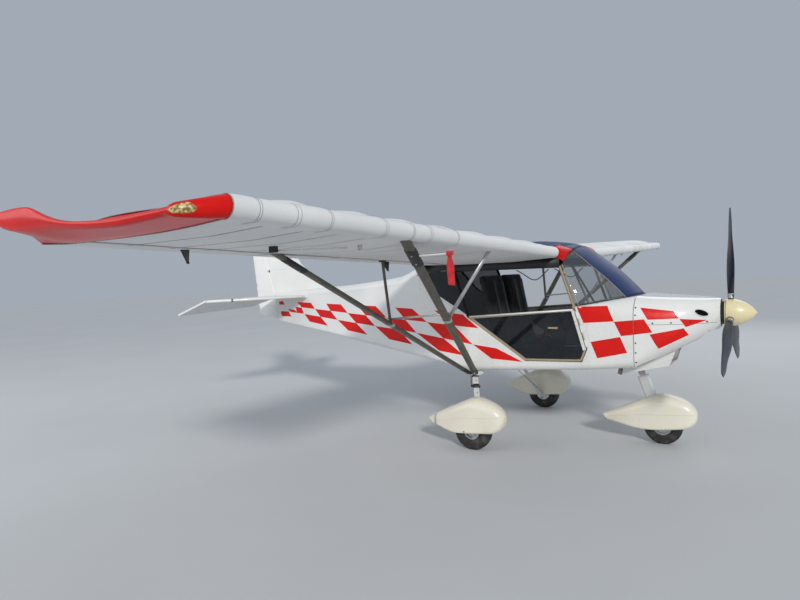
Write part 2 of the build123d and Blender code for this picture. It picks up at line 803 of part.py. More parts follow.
# Jury struts stand on the lift struts and hold the wing panel
JURY_R = 11.0
JURY_LINK_R = 8.0
JURY_LINK_LIFT = 45.0
JURY_SHARE = 0.56
JURY_TOP_Y = -1770.0


def along(ends, share):
    return ends[0] + (ends[1] - ends[0]) * share


def strut_top(ends, share):
    start, end = ends
    plane = line_plane(start, end)
    normal = plane.y_dir if plane.y_dir.Z > 0 else plane.y_dir * -1
    origin = along(ends, share) + normal * (STRUT_THICK / 2 + SEAT_GAP)
    return Plane(origin=origin, x_dir=end - start, z_dir=normal)


with BuildPart() as jury_strut:
    front_foot = along(FRONT_STRUT, JURY_SHARE)
    rear_foot = along(REAR_STRUT, JURY_SHARE)
    tube_between(front_foot, Vector(at(1515), JURY_TOP_Y, 1800), JURY_R)
    tube_between(rear_foot, Vector(at(2445), JURY_TOP_Y, 1800), JURY_R)
    lift = Vector(0, 0, JURY_LINK_LIFT)
    tube_between(front_foot + lift, rear_foot + lift, JURY_LINK_R)
    split(bisect_by=UNDER_FRONT, keep=Keep.BOTTOM)
    split(bisect_by=UNDER_REAR, keep=Keep.BOTTOM)
    split(bisect_by=strut_top(FRONT_STRUT, JURY_SHARE), keep=Keep.TOP)
    split(bisect_by=strut_top(REAR_STRUT, JURY_SHARE), keep=Keep.TOP)
save_both(jury_strut, "jury_struts")

# Tie-down lugs under the wings, outboard of the struts
LUG_THICK = 6.0
LUG_HOLE_R = 6.0

with BuildPart() as tie_down_lug:
    lug = wing_point(300, -66, 2960)
    with BuildSketch(SIDE.offset(-lug.Y - LUG_THICK / 2)):
        with Locations((lug.X, lug.Z)):
            Circle(14)
        with Locations((lug.X, lug.Z + 20)):
            Rectangle(28, 40)
        with Locations((lug.X, lug.Z)):
            Circle(LUG_HOLE_R, mode=Mode.SUBTRACT)
    extrude(amount=LUG_THICK)
    split(bisect_by=under_wing((NOSE_U, NOSE_DOWN), (CREST_U, CREST_DOWN)), keep=Keep.BOTTOM)
save_both(tie_down_lug, "tie_down_lugs")

# Pitot tube with its cover, under the right wing ahead of the strut
PITOT_Y = -2700.0
PITOT_Z = 1694.0
FLAG_EDGE = [(1330, 4), (1312, 4), (1290, 164), (1334, 174)]

with BuildPart() as pitot_tube:
    tube_between(spot(1523.6, PITOT_Y + 8, PITOT_Z - 1), spot(1335, PITOT_Y, PITOT_Z + 2), 5)
save(pitot_tube, "pitot_tube")

with BuildPart() as pitot_flag:
    tube_between(spot(1334.5, PITOT_Y, PITOT_Z + 3), spot(1300, PITOT_Y, PITOT_Z + 5), 14)
    with BuildSketch(SIDE.offset(-PITOT_Y - 4)):
        with BuildLine():
            Polyline(*side_points([(station, PITOT_Z - drop) for station, drop in FLAG_EDGE]), close=True)
        make_face()
    extrude(amount=8)
save(pitot_flag, "pitot_flag")

# Main gear: leg with its axle, wheel and spat
MAIN_Y = -TRACK / 2
SPAT_WALL = 5.0
LEG_WIDTH = 56.0
LEG_THICK = 24.0
LEG_FOOT_Y = -768.0


def axle_plane(station, y, z):
    return Plane(origin=spot(station, y, z), x_dir=(1, 0, 0), z_dir=(0, -1, 0))


with BuildPart() as main_leg:
    slot_between(
        spot(2310, -510, 640), Vector(at(MAIN_AXLE_STATION), LEG_FOOT_Y, MAIN_WHEEL_R), LEG_WIDTH, LEG_THICK
    )
    split(bisect_by=Plane.XY.offset(FOOT_Z[0] - SEAT_GAP), keep=Keep.BOTTOM)
    with BuildSketch(axle_plane(MAIN_AXLE_STATION, LEG_FOOT_Y + 14, MAIN_WHEEL_R)) as boss:
        Circle(30)
    extrude(amount=20)
    with BuildSketch(axle_plane(MAIN_AXLE_STATION, LEG_FOOT_Y, MAIN_WHEEL_R)) as axle:
        Circle(AXLE_R)
    extrude(amount=LEG_FOOT_Y - MAIN_Y + 62)
save_both(main_leg, "main_legs")


def wheel_rim(plane):
    with BuildSketch(plane.offset(-RIM_WIDTH / 2)) as hub:
        Circle(RIM_R)
        Circle(AXLE_R + RUNNING, mode=Mode.SUBTRACT)
    extrude(hub.sketch, amount=RIM_WIDTH)
    for face in (-RIM_WIDTH / 2, RIM_WIDTH / 2 - 22):
        with BuildSketch(plane.offset(face)) as dish:
            Circle(RIM_R - 12)
            Circle(28, mode=Mode.SUBTRACT)
        extrude(dish.sketch, amount=22, mode=Mode.SUBTRACT)


def tyre_ring(plane, radius):
    ring = Plane(origin=plane.origin, x_dir=plane.x_dir, z_dir=Vector(0, 0, 1))
    with BuildSketch(ring) as half:
        with Locations(((radius + RIM_R) / 2 + 0.1, 0)):
            Rectangle(radius - RIM_R - 0.2, TYRE_WIDTH)
        fillet(half.vertices().group_by(Axis.X)[-1], 36)
        fillet(half.vertices().group_by(Axis.X)[0], 14)
    revolve(half.sketch, axis=Axis(plane.origin, (0, 1, 0)))


main_wheel_plane = axle_plane(MAIN_AXLE_STATION, MAIN_Y, MAIN_WHEEL_R)
nose_wheel_plane = axle_plane(NOSE_AXLE_STATION, 0, NOSE_WHEEL_R)

with BuildPart() as main_rim:
    wheel_rim(main_wheel_plane)
save_pair(main_rim, "main_rim")

with BuildPart() as main_tyre:
    tyre_ring(main_wheel_plane, MAIN_WHEEL_R)
save_pair(main_tyre, "main_tyre")

with BuildPart() as nose_rim:
    wheel_rim(nose_wheel_plane)
save(nose_rim, "nose_rim")

with BuildPart() as nose_tyre:
    tyre_ring(nose_wheel_plane, NOSE_WHEEL_R)
save(nose_tyre, "nose_tyre")

# Spats: distance ahead of the axle, half width, bottom, top, top and bottom corner radius
MAIN_SPAT_ROWS = [
    (313, 22, 284, 334, 20, 20),
    (290, 66, 222, 368, 58, 44),
    (243, 88, 184, 410, 76, 38),
    (150, 102, 172, 450, 84, 26),
    (41, 106, 163, 472, 86, 20),
    (-60, 106, 156, 442, 80, 18),
    (-153, 100, 152, 399, 72, 18),
    (-299, 78, 181, 329, 52, 20),
    (-400, 54, 199, 277, 30, 20),
    (-450, 42, 208, 252, 20, 18),
]
MAIN_SPAT_TAIL = [(-366, 194), (-438, 254)]
NOSE_SPAT_ROWS = [
    (276, 22, 250, 302, 20, 20),
    (255, 64, 198, 340, 56, 44),
    (195, 90, 164, 396, 76, 36),
    (105, 102, 150, 430, 84, 26),
    (10, 106, 140, 445, 86, 20),
    (-100, 104, 131, 414, 80, 18),
    (-228, 94, 136, 360, 68, 18),
    (-370, 70, 157, 289, 48, 20),
    (-470, 44, 171, 240, 28, 20),
    (-520, 34, 178, 218, 18, 16),
]
NOSE_SPAT_TAIL = [(-468, 171), (-511, 222)]
MAIN_OPEN_HALF = 62.0
NOSE_OPEN_HALF = 80.0
SPAT_OPEN_REACH = 196.0
SPAT_OPEN_Z = 250.0


def spat_loft(axle_station, y, rows, wall=0.0, mode=Mode.ADD):
    loft([body_section(axle_station - dx, *sizes, wall=wall, y=y) for dx, *sizes in rows], mode=mode)


# A thin shell with a solid tail cut off at a slant, open below round the wheel
def spat_shell(axle_station, y, rows, tail, open_half):
    spat_loft(axle_station, y, rows)
    spat_loft(axle_station, y, rows[1:-2], wall=SPAT_WALL, mode=Mode.SUBTRACT)
    low, high = (spot(axle_station - dx, y, z) for dx, z in tail)
    normal = Vector(0, 1, 0).cross(high - low)
    split(bisect_by=Plane(origin=low, x_dir=high - low, z_dir=normal), keep=Keep.TOP)
    with BuildSketch(Plane.XY) as mouth:
        with Locations((at(axle_station), y)):
            SlotOverall(2 * SPAT_OPEN_REACH + 30, 2 * open_half)
    extrude(mouth.sketch, amount=SPAT_OPEN_Z, mode=Mode.SUBTRACT)


with BuildPart() as main_spat:
    spat_shell(MAIN_AXLE_STATION, MAIN_Y, MAIN_SPAT_ROWS, MAIN_SPAT_TAIL, MAIN_OPEN_HALF)
    with BuildSketch(axle_plane(MAIN_AXLE_STATION, MAIN_Y + 130, MAIN_WHEEL_R)):
        Circle(AXLE_R + SEAT_GAP)
    extrude(amount=100, mode=Mode.SUBTRACT)
save_both(main_spat, "main_spats")

# Nose leg: steering axis through the axle, leaning aft going up
NOSE_RAKE = 20.0
LEG_TUBE_R = 22.0
FORK_HALF = 62.0
rake = radians(NOSE_RAKE)
LEG = Plane(
    origin=spot(NOSE_AXLE_STATION, 0, NOSE_WHEEL_R),
    x_dir=(cos(rake), 0, sin(rake)),
    z_dir=(-sin(rake), 0, cos(rake)),
)
CROWN_AT = (214.0, 232.0)
PLATE_TOP = 468.0
SOCKET_AT = (480.0, 640.0)

with BuildPart() as nose_leg:
    for side in (-1, 1):
        with BuildSketch(LEG.offset(-24)):
            with Locations((0, side * (FORK_HALF + 4))):
                Rectangle(44, 8)
        extrude(amount=24 + CROWN_AT[0] + 2)
    with BuildSketch(LEG.offset(CROWN_AT[0])):
        RectangleRounded(60, 2 * FORK_HALF + 16, 8)
    extrude(amount=CROWN_AT[1] - CROWN_AT[0])
    with BuildSketch(LEG.offset(CROWN_AT[1] - 2)):
        SlotOverall(98, 30)
    extrude(amount=PLATE_TOP - CROWN_AT[1] + 2)
    with BuildSketch(LEG.offset(PLATE_TOP - 2)):
        Circle(LEG_TUBE_R)
    extrude(amount=118)
    with BuildSketch(axle_plane(NOSE_AXLE_STATION, FORK_HALF + 10, NOSE_WHEEL_R)):
        Circle(AXLE_R)
    extrude(amount=2 * FORK_HALF + 20)
save(nose_leg, "nose_leg")

belly_front = spot(DECK_ROWS[0][0], 0, DECK_ROWS[0][2] - SEAT_GAP)
belly_rear = spot(DECK_ROWS[-1][0], 0, DECK_ROWS[-1][2] - SEAT_GAP)
BELLY = Plane(
    origin=belly_front,
    x_dir=belly_front - belly_rear,
    z_dir=(belly_front - belly_rear).cross(Vector(0, 1, 0)),
)

with BuildPart() as nose_socket:
    with BuildSketch(LEG.offset(SOCKET_AT[0])):
        Circle(LEG_TUBE_R + 8)
        Circle(LEG_TUBE_R + RUNNING, mode=Mode.SUBTRACT)
    extrude(amount=SOCKET_AT[1] - SOCKET_AT[0])
    split(bisect_by=BELLY, keep=Keep.BOTTOM)
save(nose_socket, "nose_socket")

with BuildPart() as nose_spat:
    spat_shell(NOSE_AXLE_STATION, 0, NOSE_SPAT_ROWS, NOSE_SPAT_TAIL, NOSE_OPEN_HALF)
    with BuildSketch(LEG.offset(200)):
        SlotOverall(98 + 2 * SEAT_GAP, 30 + 2 * SEAT_GAP)
    extrude(amount=120, mode=Mode.SUBTRACT)
save(nose_spat, "nose_spat")

# Propeller: hub with three blades, turned as one, and the spinner over it
HUB_R = 62.0
HUB_STATIONS = (162.0, 219.7)
# Blade sections: radius, chord, thickness, pitch
BLADE_ROWS = [
    (40, 46, 40, 58),
    (125, 50, 34, 54),
    (330, 112, 20, 34),
    (600, 98, 14, 23),
    (PROP_R, 46, 8, 17),
]


def blade_section(plane, radius, chord, thick, pitch):
    with BuildSketch(plane.offset(radius)) as section:
        Ellipse(chord / 2, thick / 2, rotation=pitch)
    return section.sketch


def blade_plane(number):
    angle = radians(BLADE_LEAN + 120 * number)
    return Plane(
        origin=spot(PROP_STATION, 0, THRUST_Z),
        x_dir=(0, cos(angle), -sin(angle)),
        z_dir=(0, sin(angle), cos(angle)),
    )


with BuildPart() as propeller:
    with BuildSketch(cross_plane(HUB_STATIONS[1])):
        with Locations((0, THRUST_Z)):
            Circle(HUB_R)
    extrude(amount=HUB_STATIONS[1] - HUB_STATIONS[0])
    for number in range(3):
        loft([blade_section(blade_plane(number), *row) for row in BLADE_ROWS])
    with BuildSketch(cross_plane(HUB_STATIONS[1] + 20)):
        with Locations((0, THRUST_Z)):
            Circle(SHAFT_R + RUNNING)
    extrude(amount=60 + 20, mode=Mode.SUBTRACT)
save(propeller, "propeller")

SPINNER_WALL = 4.0
SPINNER_PLATE = 10.0
BLADE_HOLE_R = 27.0
seam = radians(60)
SPIN_PLANE = Plane(origin=(0, 0, THRUST_Z), x_dir=(1, 0, 0), z_dir=(0, -cos(seam), sin(seam)))
SPIN_AXIS = Axis((0, 0, THRUST_Z), (1, 0, 0))


def ogive(tip, middle, middle_r, base, base_r):
    with BuildSketch(SPIN_PLANE) as profile:
        with BuildLine():
            ThreePointArc((at(tip), 0), (at(middle), middle_r), (at(base), base_r))
            Polyline((at(base), base_r), (at(base), 0), (at(tip), 0))
        make_face()
    return profile.sketch


def hub_disc(radius, depth, mode=Mode.ADD):
    with BuildSketch(cross_plane(SPINNER_BASE_STATION)) as disc:
        with Locations((0, THRUST_Z)):
            Circle(radius)
    extrude(disc.sketch, amount=depth, mode=mode)


with BuildPart() as spinner:
    revolve(ogive(0, 70, 74, SPINNER_BASE_STATION, SPINNER_R), axis=SPIN_AXIS)
    revolve(
        ogive(SPINNER_WALL + 4, 76, 69, SPINNER_BASE_STATION + 1, SPINNER_R - SPINNER_WALL),
        axis=SPIN_AXIS,
        mode=Mode.SUBTRACT,
    )
    hub_disc(SPINNER_R - SPINNER_WALL + 1, SPINNER_PLATE)
    hub_disc(SHAFT_R + 4, SPINNER_PLATE + 5, mode=Mode.SUBTRACT)
    for number in range(3):
        with BuildSketch(blade_plane(number).offset(HUB_R + 4)):
            Circle(BLADE_HOLE_R)
        extrude(amount=80, mode=Mode.SUBTRACT)
save(spinner, "spinner")

# Cabin fittings
SEAT_Y = -245.0
with BuildPart() as seat:
    with BuildSketch(SIDE.offset(-SEAT_Y - 215)):
        with BuildLine():
            Polyline(
                *side_points(
                    [
                        (1740, 770), (2080, 740), (2130, 780), (2262, 1550), (2205, 1560),
                        (2060, 860), (1740, 860),
                    ]
                ),
                close=True,
            )
        make_face()
    extrude(amount=430)
    fillet(seat.edges().filter_by(Axis.Y), 18)
save_both(seat, "seats")

with BuildPart() as seat_frame:
    for station, z in ((1790, 754.2), (2050, 729.2)):
        tube_between(spot(station, -539.7, z), spot(station, 539.7, z), 11)
save(seat_frame, "seat_frame")

with BuildPart() as instrument_panel:
    with BuildSketch(cross_plane(1250)):
        with BuildLine():
            Polyline(
                (-539.7, 1060), (539.7, 1060), (539.7, 1200), (300, 1246), (-300, 1246), (-539.7, 1200),
                close=True,
            )
        make_face()
    extrude(amount=12)
save(instrument_panel, "instrument_panel")

with BuildPart() as cabin_controls:
    tube_between(spot(1640, 0, 697), spot(1560, 0, 1010), 12)
    tube_between(spot(1560, -90, 1010), spot(1560, 90, 1010), 9)
    for y in (-90, 90):
        tube_between(spot(1560, y, 1000), spot(1575, y * 1.5, 1110), 14)
    for y in (-360, -170, 170, 360):
        tube_between(spot(1080, y, 731.8), spot(1060, y, 900), 8)
        tube_between(spot(1060, y - 50, 895), spot(1060, y + 50, 895), 9)
save(cabin_controls, "cabin_controls")

# Half doors hinged at their front edge
DOOR_RING = 16.0
PANE_THICK = 3.0
DOOR_FRAME_EDGE = [(1318, 1232), (1222, 896), (1266, 785), (1776, 768), (2328, 1148), (2328, 1156)]
door_plane = SIDE.offset(-DOOR_SKIN_Y - DOOR_THICK)


def door_outline(inset):
    with BuildSketch(door_plane) as outline:
        with BuildLine():
            Polyline(*side_points(DOOR_FRAME_EDGE), close=True)
        make_face()
        fillet(outline.vertices().sort_by(Axis.Y)[1:3], 30)
        if inset:
            offset(amount=-inset, kind=Kind.INTERSECTION, mode=Mode.REPLACE)
    return outline.sketch


with BuildPart() as door_frame:
    extrude(door_outline(0), amount=DOOR_THICK)
    extrude(door_outline(DOOR_RING), amount=DOOR_THICK, mode=Mode.SUBTRACT)
    for number in (1, 3):
        low = hinge_low + hinge_step * number
        high = low + hinge_step * KNUCKLE_SHARE
        tube_between(low, high, KNUCKLE_R)
        tube_between(low - hinge_step * 0.1, high + hinge_step * 0.1, KNUCKLE_PIN_R)
        hinge_leaf(low, high, -LEAF_WIDTH)
save_pair(door_frame, "door_frame")

with BuildPart() as door_pane:
    extrude(door_outline(DOOR_RING + SEAT_GAP), amount=PANE_THICK)
save_pair(door_pane, "door_pane")

# Belly aerial and exhaust
with BuildPart() as belly_aerial:
    tube_between(spot(2130, -60, 651), spot(1850, -60, 415), 2.5)
save(belly_aerial, "belly_aerial")

with BuildPart() as exhaust_pipe:
    tube_between(spot(1040, -100, 716.9), spot(1062, -100, 615), 20, bore=17)
save(exhaust_pipe, "exhaust_pipe")
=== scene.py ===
"""Looks of the ultralight aeroplane: fabric, paint, glass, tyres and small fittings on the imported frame."""

import json
from math import atan2, ceil, cos, pi, radians, sin, sqrt

import bmesh
import bpy
from mathutils import Matrix, Vector
from mathutils.bvhtree import BVHTree


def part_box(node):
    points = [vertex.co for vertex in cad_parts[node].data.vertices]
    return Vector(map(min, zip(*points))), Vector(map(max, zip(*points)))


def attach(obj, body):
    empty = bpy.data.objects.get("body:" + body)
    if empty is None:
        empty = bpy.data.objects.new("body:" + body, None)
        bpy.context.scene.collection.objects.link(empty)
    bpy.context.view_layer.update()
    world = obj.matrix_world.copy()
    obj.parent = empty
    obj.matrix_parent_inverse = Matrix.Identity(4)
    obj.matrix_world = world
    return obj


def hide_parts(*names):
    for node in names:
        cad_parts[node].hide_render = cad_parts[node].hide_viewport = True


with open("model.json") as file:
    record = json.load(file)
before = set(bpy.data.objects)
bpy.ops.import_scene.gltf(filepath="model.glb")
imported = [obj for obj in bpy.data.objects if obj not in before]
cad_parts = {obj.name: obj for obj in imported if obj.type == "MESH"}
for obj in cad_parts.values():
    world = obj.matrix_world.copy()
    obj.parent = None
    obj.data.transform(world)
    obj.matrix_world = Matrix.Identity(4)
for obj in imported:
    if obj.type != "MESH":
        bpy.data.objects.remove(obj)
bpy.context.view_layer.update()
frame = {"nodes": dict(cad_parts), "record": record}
NODES = frame["nodes"]

# Metres, X forward, Y to the left, Z up. Stations are metres aft of the spinner tip.
NOSE_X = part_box("spinner")[1].x
SIDES = {"right": -1, "left": 1}
THRUST_Z = 1.168
MAIN_AXLE, MAIN_Y, MAIN_R = 2.145, 0.894, 0.172
NOSE_AXLE, NOSE_R = 0.726, 0.160
UP = Vector((0, 0, 1))
SHOWN = {}  # pieces that stand for a part or add to it, by node


def vec(x=0.0, y=0.0, z=0.0):
    return Vector((x, y, z))


def at(station):
    return NOSE_X - station


def spot(station, y, z):
    return vec(at(station), y, z)


def profile(*pairs):
    """Points in the middle plane, from stations and heights."""
    return [spot(s, 0, z) for s, z in pairs]


def clamp(value, low=0.0, high=1.0):
    return min(high, max(low, value))


def circle(centre, first, second, count):
    """A closed line round a centre, its last point on its first."""
    turns = [2 * pi * i / count for i in range(count + 1)]
    return [centre + first * cos(t) + second * sin(t) for t in turns]


def spread(points, count):
    """Evenly spread points along a line of points."""
    lengths = [0.0]
    for a, b in zip(points, points[1:]):
        lengths.append(lengths[-1] + (b - a).length)
    line = []
    for i in range(count + 1):
        want = lengths[-1] * i / count
        k = max(0, min(len(points) - 2, sum(1 for x in lengths[1:] if x < want)))
        line.append(points[k].lerp(points[k + 1], (want - lengths[k]) / (lengths[k + 1] - lengths[k])))
    return line


# Small mesh helpers


def link(name, mesh):
    piece = bpy.data.objects.new(name.replace(" ", "_"), mesh)
    bpy.context.scene.collection.objects.link(piece)
    return piece


def place(piece, look, body="airframe", smooth=True):
    piece.data.materials.append(LOOKS[look])
    if smooth:
        piece.data.polygons.foreach_set("use_smooth", [True] * len(piece.data.polygons))
    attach(piece, body)
    return piece


def mesh_from(name, points, faces):
    mesh = bpy.data.meshes.new(name)
    mesh.from_pydata([tuple(p) for p in points], [], faces)
    mesh.validate()
    mesh.update()
    return link(name, mesh)


def grid_piece(name, rows, flip=False):
    """A sheet of quads over rows of points."""
    width = len(rows[0])
    faces = []
    for i in range(len(rows) - 1):
        for j in range(width - 1):
            face = (i * width + j, i * width + j + 1, (i + 1) * width + j + 1, (i + 1) * width + j)
            faces.append(face[::-1] if flip else face)
    return mesh_from(name, [p for row in rows for p in row], faces)


def apply_modifiers(piece):
    graph = bpy.context.evaluated_depsgraph_get()
    done = bpy.data.meshes.new_from_object(piece.evaluated_get(graph))
    piece.modifiers.clear()
    piece.data = done
    piece.data.materials.clear()


def thicken(piece, thickness, offset):
    thick = piece.modifiers.new("thickness", "SOLIDIFY")
    thick.thickness = thickness
    thick.offset = offset
    apply_modifiers(piece)


class Builder:
    """Collects simple solids into one mesh."""

    def __init__(self):
        self.bm = bmesh.new()

    def ring(self, centre, first, second, sides):
        return [self.bm.verts.new(p) for p in circle(centre, first, second, sides)[:-1]]

    def bridge(self, ring, following):
        for i in range(len(ring)):
            j = (i + 1) % len(ring)
            self.bm.faces.new((ring[i], ring[j], following[j], following[i]))

    def tube(self, rings):
        for ring, following in zip(rings, rings[1:]):
            self.bridge(ring, following)
        return self

    def capped(self, rings):
        """Faces between neighbouring rings and over both ends."""
        self.tube(rings)
        self.bm.faces.new(rings[0][::-1])
        self.bm.faces.new(rings[-1])
        return self

    def grid(self, rows):
        """An open sheet of quads over rows of points."""
        rows = [[self.bm.verts.new(p) for p in row] for row in rows]
        for row, following in zip(rows, rows[1:]):
            for i in range(len(row) - 1):
                self.bm.faces.new((row[i], row[i + 1], following[i + 1], following[i]))
        return rows

    def rod(self, start, end, radius, sides=12, end_radius=None):
        start, end = Vector(start), Vector(end)
        first = (end - start).orthogonal().normalized()
        second = (end - start).normalized().cross(first)
        far = radius if end_radius is None else end_radius
        low = self.ring(start, first * radius, second * radius, sides)
        return self.capped([low, self.ring(end, first * far, second * far, sides)])

    def sleeve(self, start, end, width, thick):
        """An oval sleeve along a strut, its width level as the strut's own section."""
        way = (end - start).normalized()
        wide = UP.cross(way).normalized()
        thin = way.cross(wide)
        return self.capped([self.ring(p, wide * width / 2, thin * thick / 2, 20) for p in (start, end)])

    def path(self, points, radius, sides=10):
        """A tube swept along a line, closed when its ends meet."""
        points = [Vector(p) for p in points]
        closed = (points[0] - points[-1]).length < 1e-6
        if closed:
            points.pop()
        rings = []
        first = None
        for i, point in enumerate(points):
            before = points[i - 1] if i or closed else point
            after = points[(i + 1) % len(points)] if i + 1 < len(points) or closed else point
            way = (after - before).normalized()
            first = way.orthogonal() if first is None else first - way * first.dot(way)
            first.normalize()
            rings.append(self.ring(point, first * radius, way.cross(first) * radius, sides))
        return self.tube(rings + rings[:1]) if closed else self.capped(rings)

    def ball(self, centre, radius, squash=(1, 1, 1)):
        reach = Vector(squash) * radius
        rings = []
        for k in range(1, 6):
            lean = pi * k / 6
            middle = Vector(centre) + vec(z=reach.z * cos(lean))
            rings.append(self.ring(middle, vec(reach.x * sin(lean)), vec(y=reach.y * sin(lean)), 10))
        self.bm.faces.new(rings[0])
        self.bm.faces.new(rings[-1][::-1])
        return self.tube(rings)

    def block(self, centre, size, bevel=0.0):
        made = bmesh.ops.create_cube(
            self.bm, size=1.0, matrix=Matrix.Translation(centre) @ Matrix.Diagonal((*size, 1))
        )
        if bevel:
            edges = list({e for v in made["verts"] for e in v.link_edges})
            bmesh.ops.bevel(self.bm, geom=edges, offset=bevel, segments=2, affect="EDGES", profile=0.7)
        return self

    def plate(self, points, thickness_way):
        half = Vector(thickness_way) / 2
        low = [self.bm.verts.new(p - half) for p in points]
        return self.capped([low, [self.bm.verts.new(p + half) for p in points]])

    def finish(self, name, look, body="airframe", slot=None, smooth=False, mirror=False):
        if mirror:
            twin = self.bm.copy()
            bmesh.ops.scale(twin, verts=twin.verts, vec=(1, -1, 1))
            bmesh.ops.reverse_faces(twin, faces=twin.faces)
            half = bpy.data.meshes.new("half")
            twin.to_mesh(half)
            self.bm.from_mesh(half)
            bpy.data.meshes.remove(half)
            twin.free()
        bmesh.ops.recalc_face_normals(self.bm, faces=self.bm.faces)
        mesh = bpy.data.meshes.new(name)
        self.bm.to_mesh(mesh)
        self.bm.free()
        return place(link(name, mesh), look, body, smooth)


# Materials


class Finish:
    """A material on the Principled shader, with object coordinates for its patterns."""

    def __init__(self, name, rough, **sockets):
        self.material = bpy.data.materials.new(name)
        self.material.use_nodes = True
        self.tree = self.material.node_tree
        self.shader = next(n for n in self.tree.nodes if n.type == "BSDF_PRINCIPLED")
        self.shader.inputs["Roughness"].default_value = rough
        for key, value in sockets.items():
            self.shader.inputs[key.replace("_", " ")].default_value = value
        self.coords = self.tree.nodes.new("ShaderNodeTexCoord").outputs["Object"]
        self.height = None

    def feed(self, socket, value):
        """Another node's output, a colour (a tuple of three) or a plain value into a socket."""
        if isinstance(value, bpy.types.NodeSocket):
            self.tree.links.new(value, socket)
        else:
            socket.default_value = (*value, 1.0) if isinstance(value, tuple) else value

    def new(self, kind, inputs, **values):
        node = self.tree.nodes.new(kind)
        for key, value in values.items():
            setattr(node, key, value)
        for key, value in inputs.items():
            self.feed(node.inputs[key], value)
        return node

    def noise(self, scale, detail):
        inputs = {"Scale": scale, "Detail": detail, "Vector": self.coords}
        return self.new("ShaderNodeTexNoise", inputs).outputs["Fac"]

    def wave(self, scale, direction):
        inputs = {"Scale": scale, "Vector": self.coords}
        return self.new("ShaderNodeTexWave", inputs, bands_direction=direction).outputs["Fac"]

    def weave(self, thread, first, second):
        return self.maths("MULTIPLY", self.wave(thread, first), self.wave(thread, second))

    def clouds(self, scale, detail, low, high, first, second):
        """Two colours, mixed by soft noise."""
        return self.mix(self.remap(self.noise(scale, detail), low, high), first, second)

    def blob(self, centre, reach):
        """Distance from a centre, one at the given reach along each axis."""
        inputs = {"Scale": [1 / r for r in reach], "Location": [-c / r for c, r in zip(centre, reach)]}
        moved = self.new("ShaderNodeMapping", {**inputs, "Vector": self.coords}).outputs["Vector"]
        return self.new("ShaderNodeVectorMath", {0: moved}, operation="LENGTH").outputs["Value"]

    def maths(self, kind, first, second):
        return self.new("ShaderNodeMath", {0: first, 1: second}, operation=kind).outputs[0]

    def remap(self, value, low, high, to_low=0.0, to_high=1.0):
        inputs = {"Value": value, "From Min": low, "From Max": high, "To Min": to_low, "To Max": to_high}
        return self.new("ShaderNodeMapRange", inputs).outputs[0]

    def mix(self, share, first, second):
        """Colours by share: a colour mix node takes them at its sockets 6 and 7."""
        return self.new("ShaderNodeMix", {"Factor": share, 6: first, 7: second}, data_type="RGBA").outputs[2]

    def colour(self, value):
        self.feed(self.shader.inputs["Base Color"], value)

    def roughness(self, value):
        self.feed(self.shader.inputs["Roughness"], value)

    def bump(self, height, distance, strength):
        inputs = {"Height": height, "Distance": distance, "Strength": strength}
        if self.height:
            inputs["Normal"] = self.height
        self.height = self.new("ShaderNodeBump", inputs).outputs["Normal"]
        self.feed(self.shader.inputs["Normal"], self.height)


def paint(name, clean, dirty, rough=0.28, coat=0.35, specular=0.5):
    made = Finish(name, rough, Coat_Weight=coat, Coat_Roughness=0.08, Specular_IOR_Level=specular)
    made.colour(made.clouds(2.2, 5.0, 0.45, 0.8, clean, dirty))
    made.roughness(made.remap(made.noise(38.0, 4.0), 0.3, 0.7, rough * 0.8, rough * 1.25))
    made.bump(made.noise(3.5, 2.0), 0.004, 0.12)
    return made.material


def fabric(name, clean, worn, thread=900.0, rough=0.62):
    made = Finish(name, rough, Sheen_Weight=0.15, Sheen_Roughness=0.5)
    made.colour(made.clouds(1.6, 5.0, 0.42, 0.78, clean, worn))
    made.bump(made.weave(thread, "X", "Y"), 0.0003, 0.35)
    made.bump(made.noise(5.0, 2.0), 0.006, 0.15)
    return made.material


def metal(name, bright, dull, rough=0.38, metallic=1.0):
    made = Finish(name, rough, Metallic=metallic)
    made.colour(made.clouds(24.0, 4.0, 0.35, 0.7, bright, dull))
    made.roughness(made.remap(made.noise(60.0, 3.0), 0.3, 0.7, rough * 0.75, rough * 1.3))
    made.bump(made.noise(180.0, 2.0), 0.0004, 0.3)
    return made.material


def plastic(name, deep, light, rough=0.5, grain=420.0):
    made = Finish(name, rough)
    made.colour(made.clouds(9.0, 5.0, 0.35, 0.75, deep, light))
    made.bump(made.noise(grain, 2.0), 0.0005, 0.4)
    return made.material


def glass(name, tint_and_shade, clear, rough=0.03, coat=0.6, specular=0.5, smears=4.0):
    made = Finish(name, rough, Alpha=clear, Coat_Weight=coat, Coat_Roughness=0.03, Specular_IOR_Level=specular)
    made.roughness(made.remap(made.noise(7.0, 4.0), 0.5, 0.8, rough, rough * smears))
    made.colour(tint_and_shade)
    return made.material


def tyre_rubber():
    made = Finish("tyre rubber", 0.78)
    made.colour(made.clouds(14.0, 6.0, 0.45, 0.75, (0.018, 0.018, 0.018), (0.085, 0.08, 0.072)))
    made.bump(made.noise(260.0, 3.0), 0.0008, 0.5)
    return made.material


def seat_cloth():
    made = Finish("black seat cloth", 0.85, Sheen_Weight=0.3, Sheen_Roughness=0.4)
    made.colour(made.clouds(11.0, 4.0, 0.4, 0.75, (0.012, 0.012, 0.014), (0.035, 0.035, 0.04)))
    made.bump(made.weave(520.0, "Y", "Z"), 0.0006, 0.5)
    return made.material


def streamer_cloth():
    made = Finish("red streamer cloth", 0.8, Sheen_Weight=0.25)
    made.colour(made.clouds(30.0, 4.0, 0.4, 0.7, (0.66, 0.02, 0.025), (0.48, 0.012, 0.018)))
    made.bump(made.weave(700.0, "X", "Z"), 0.0004, 0.5)
    return made.material


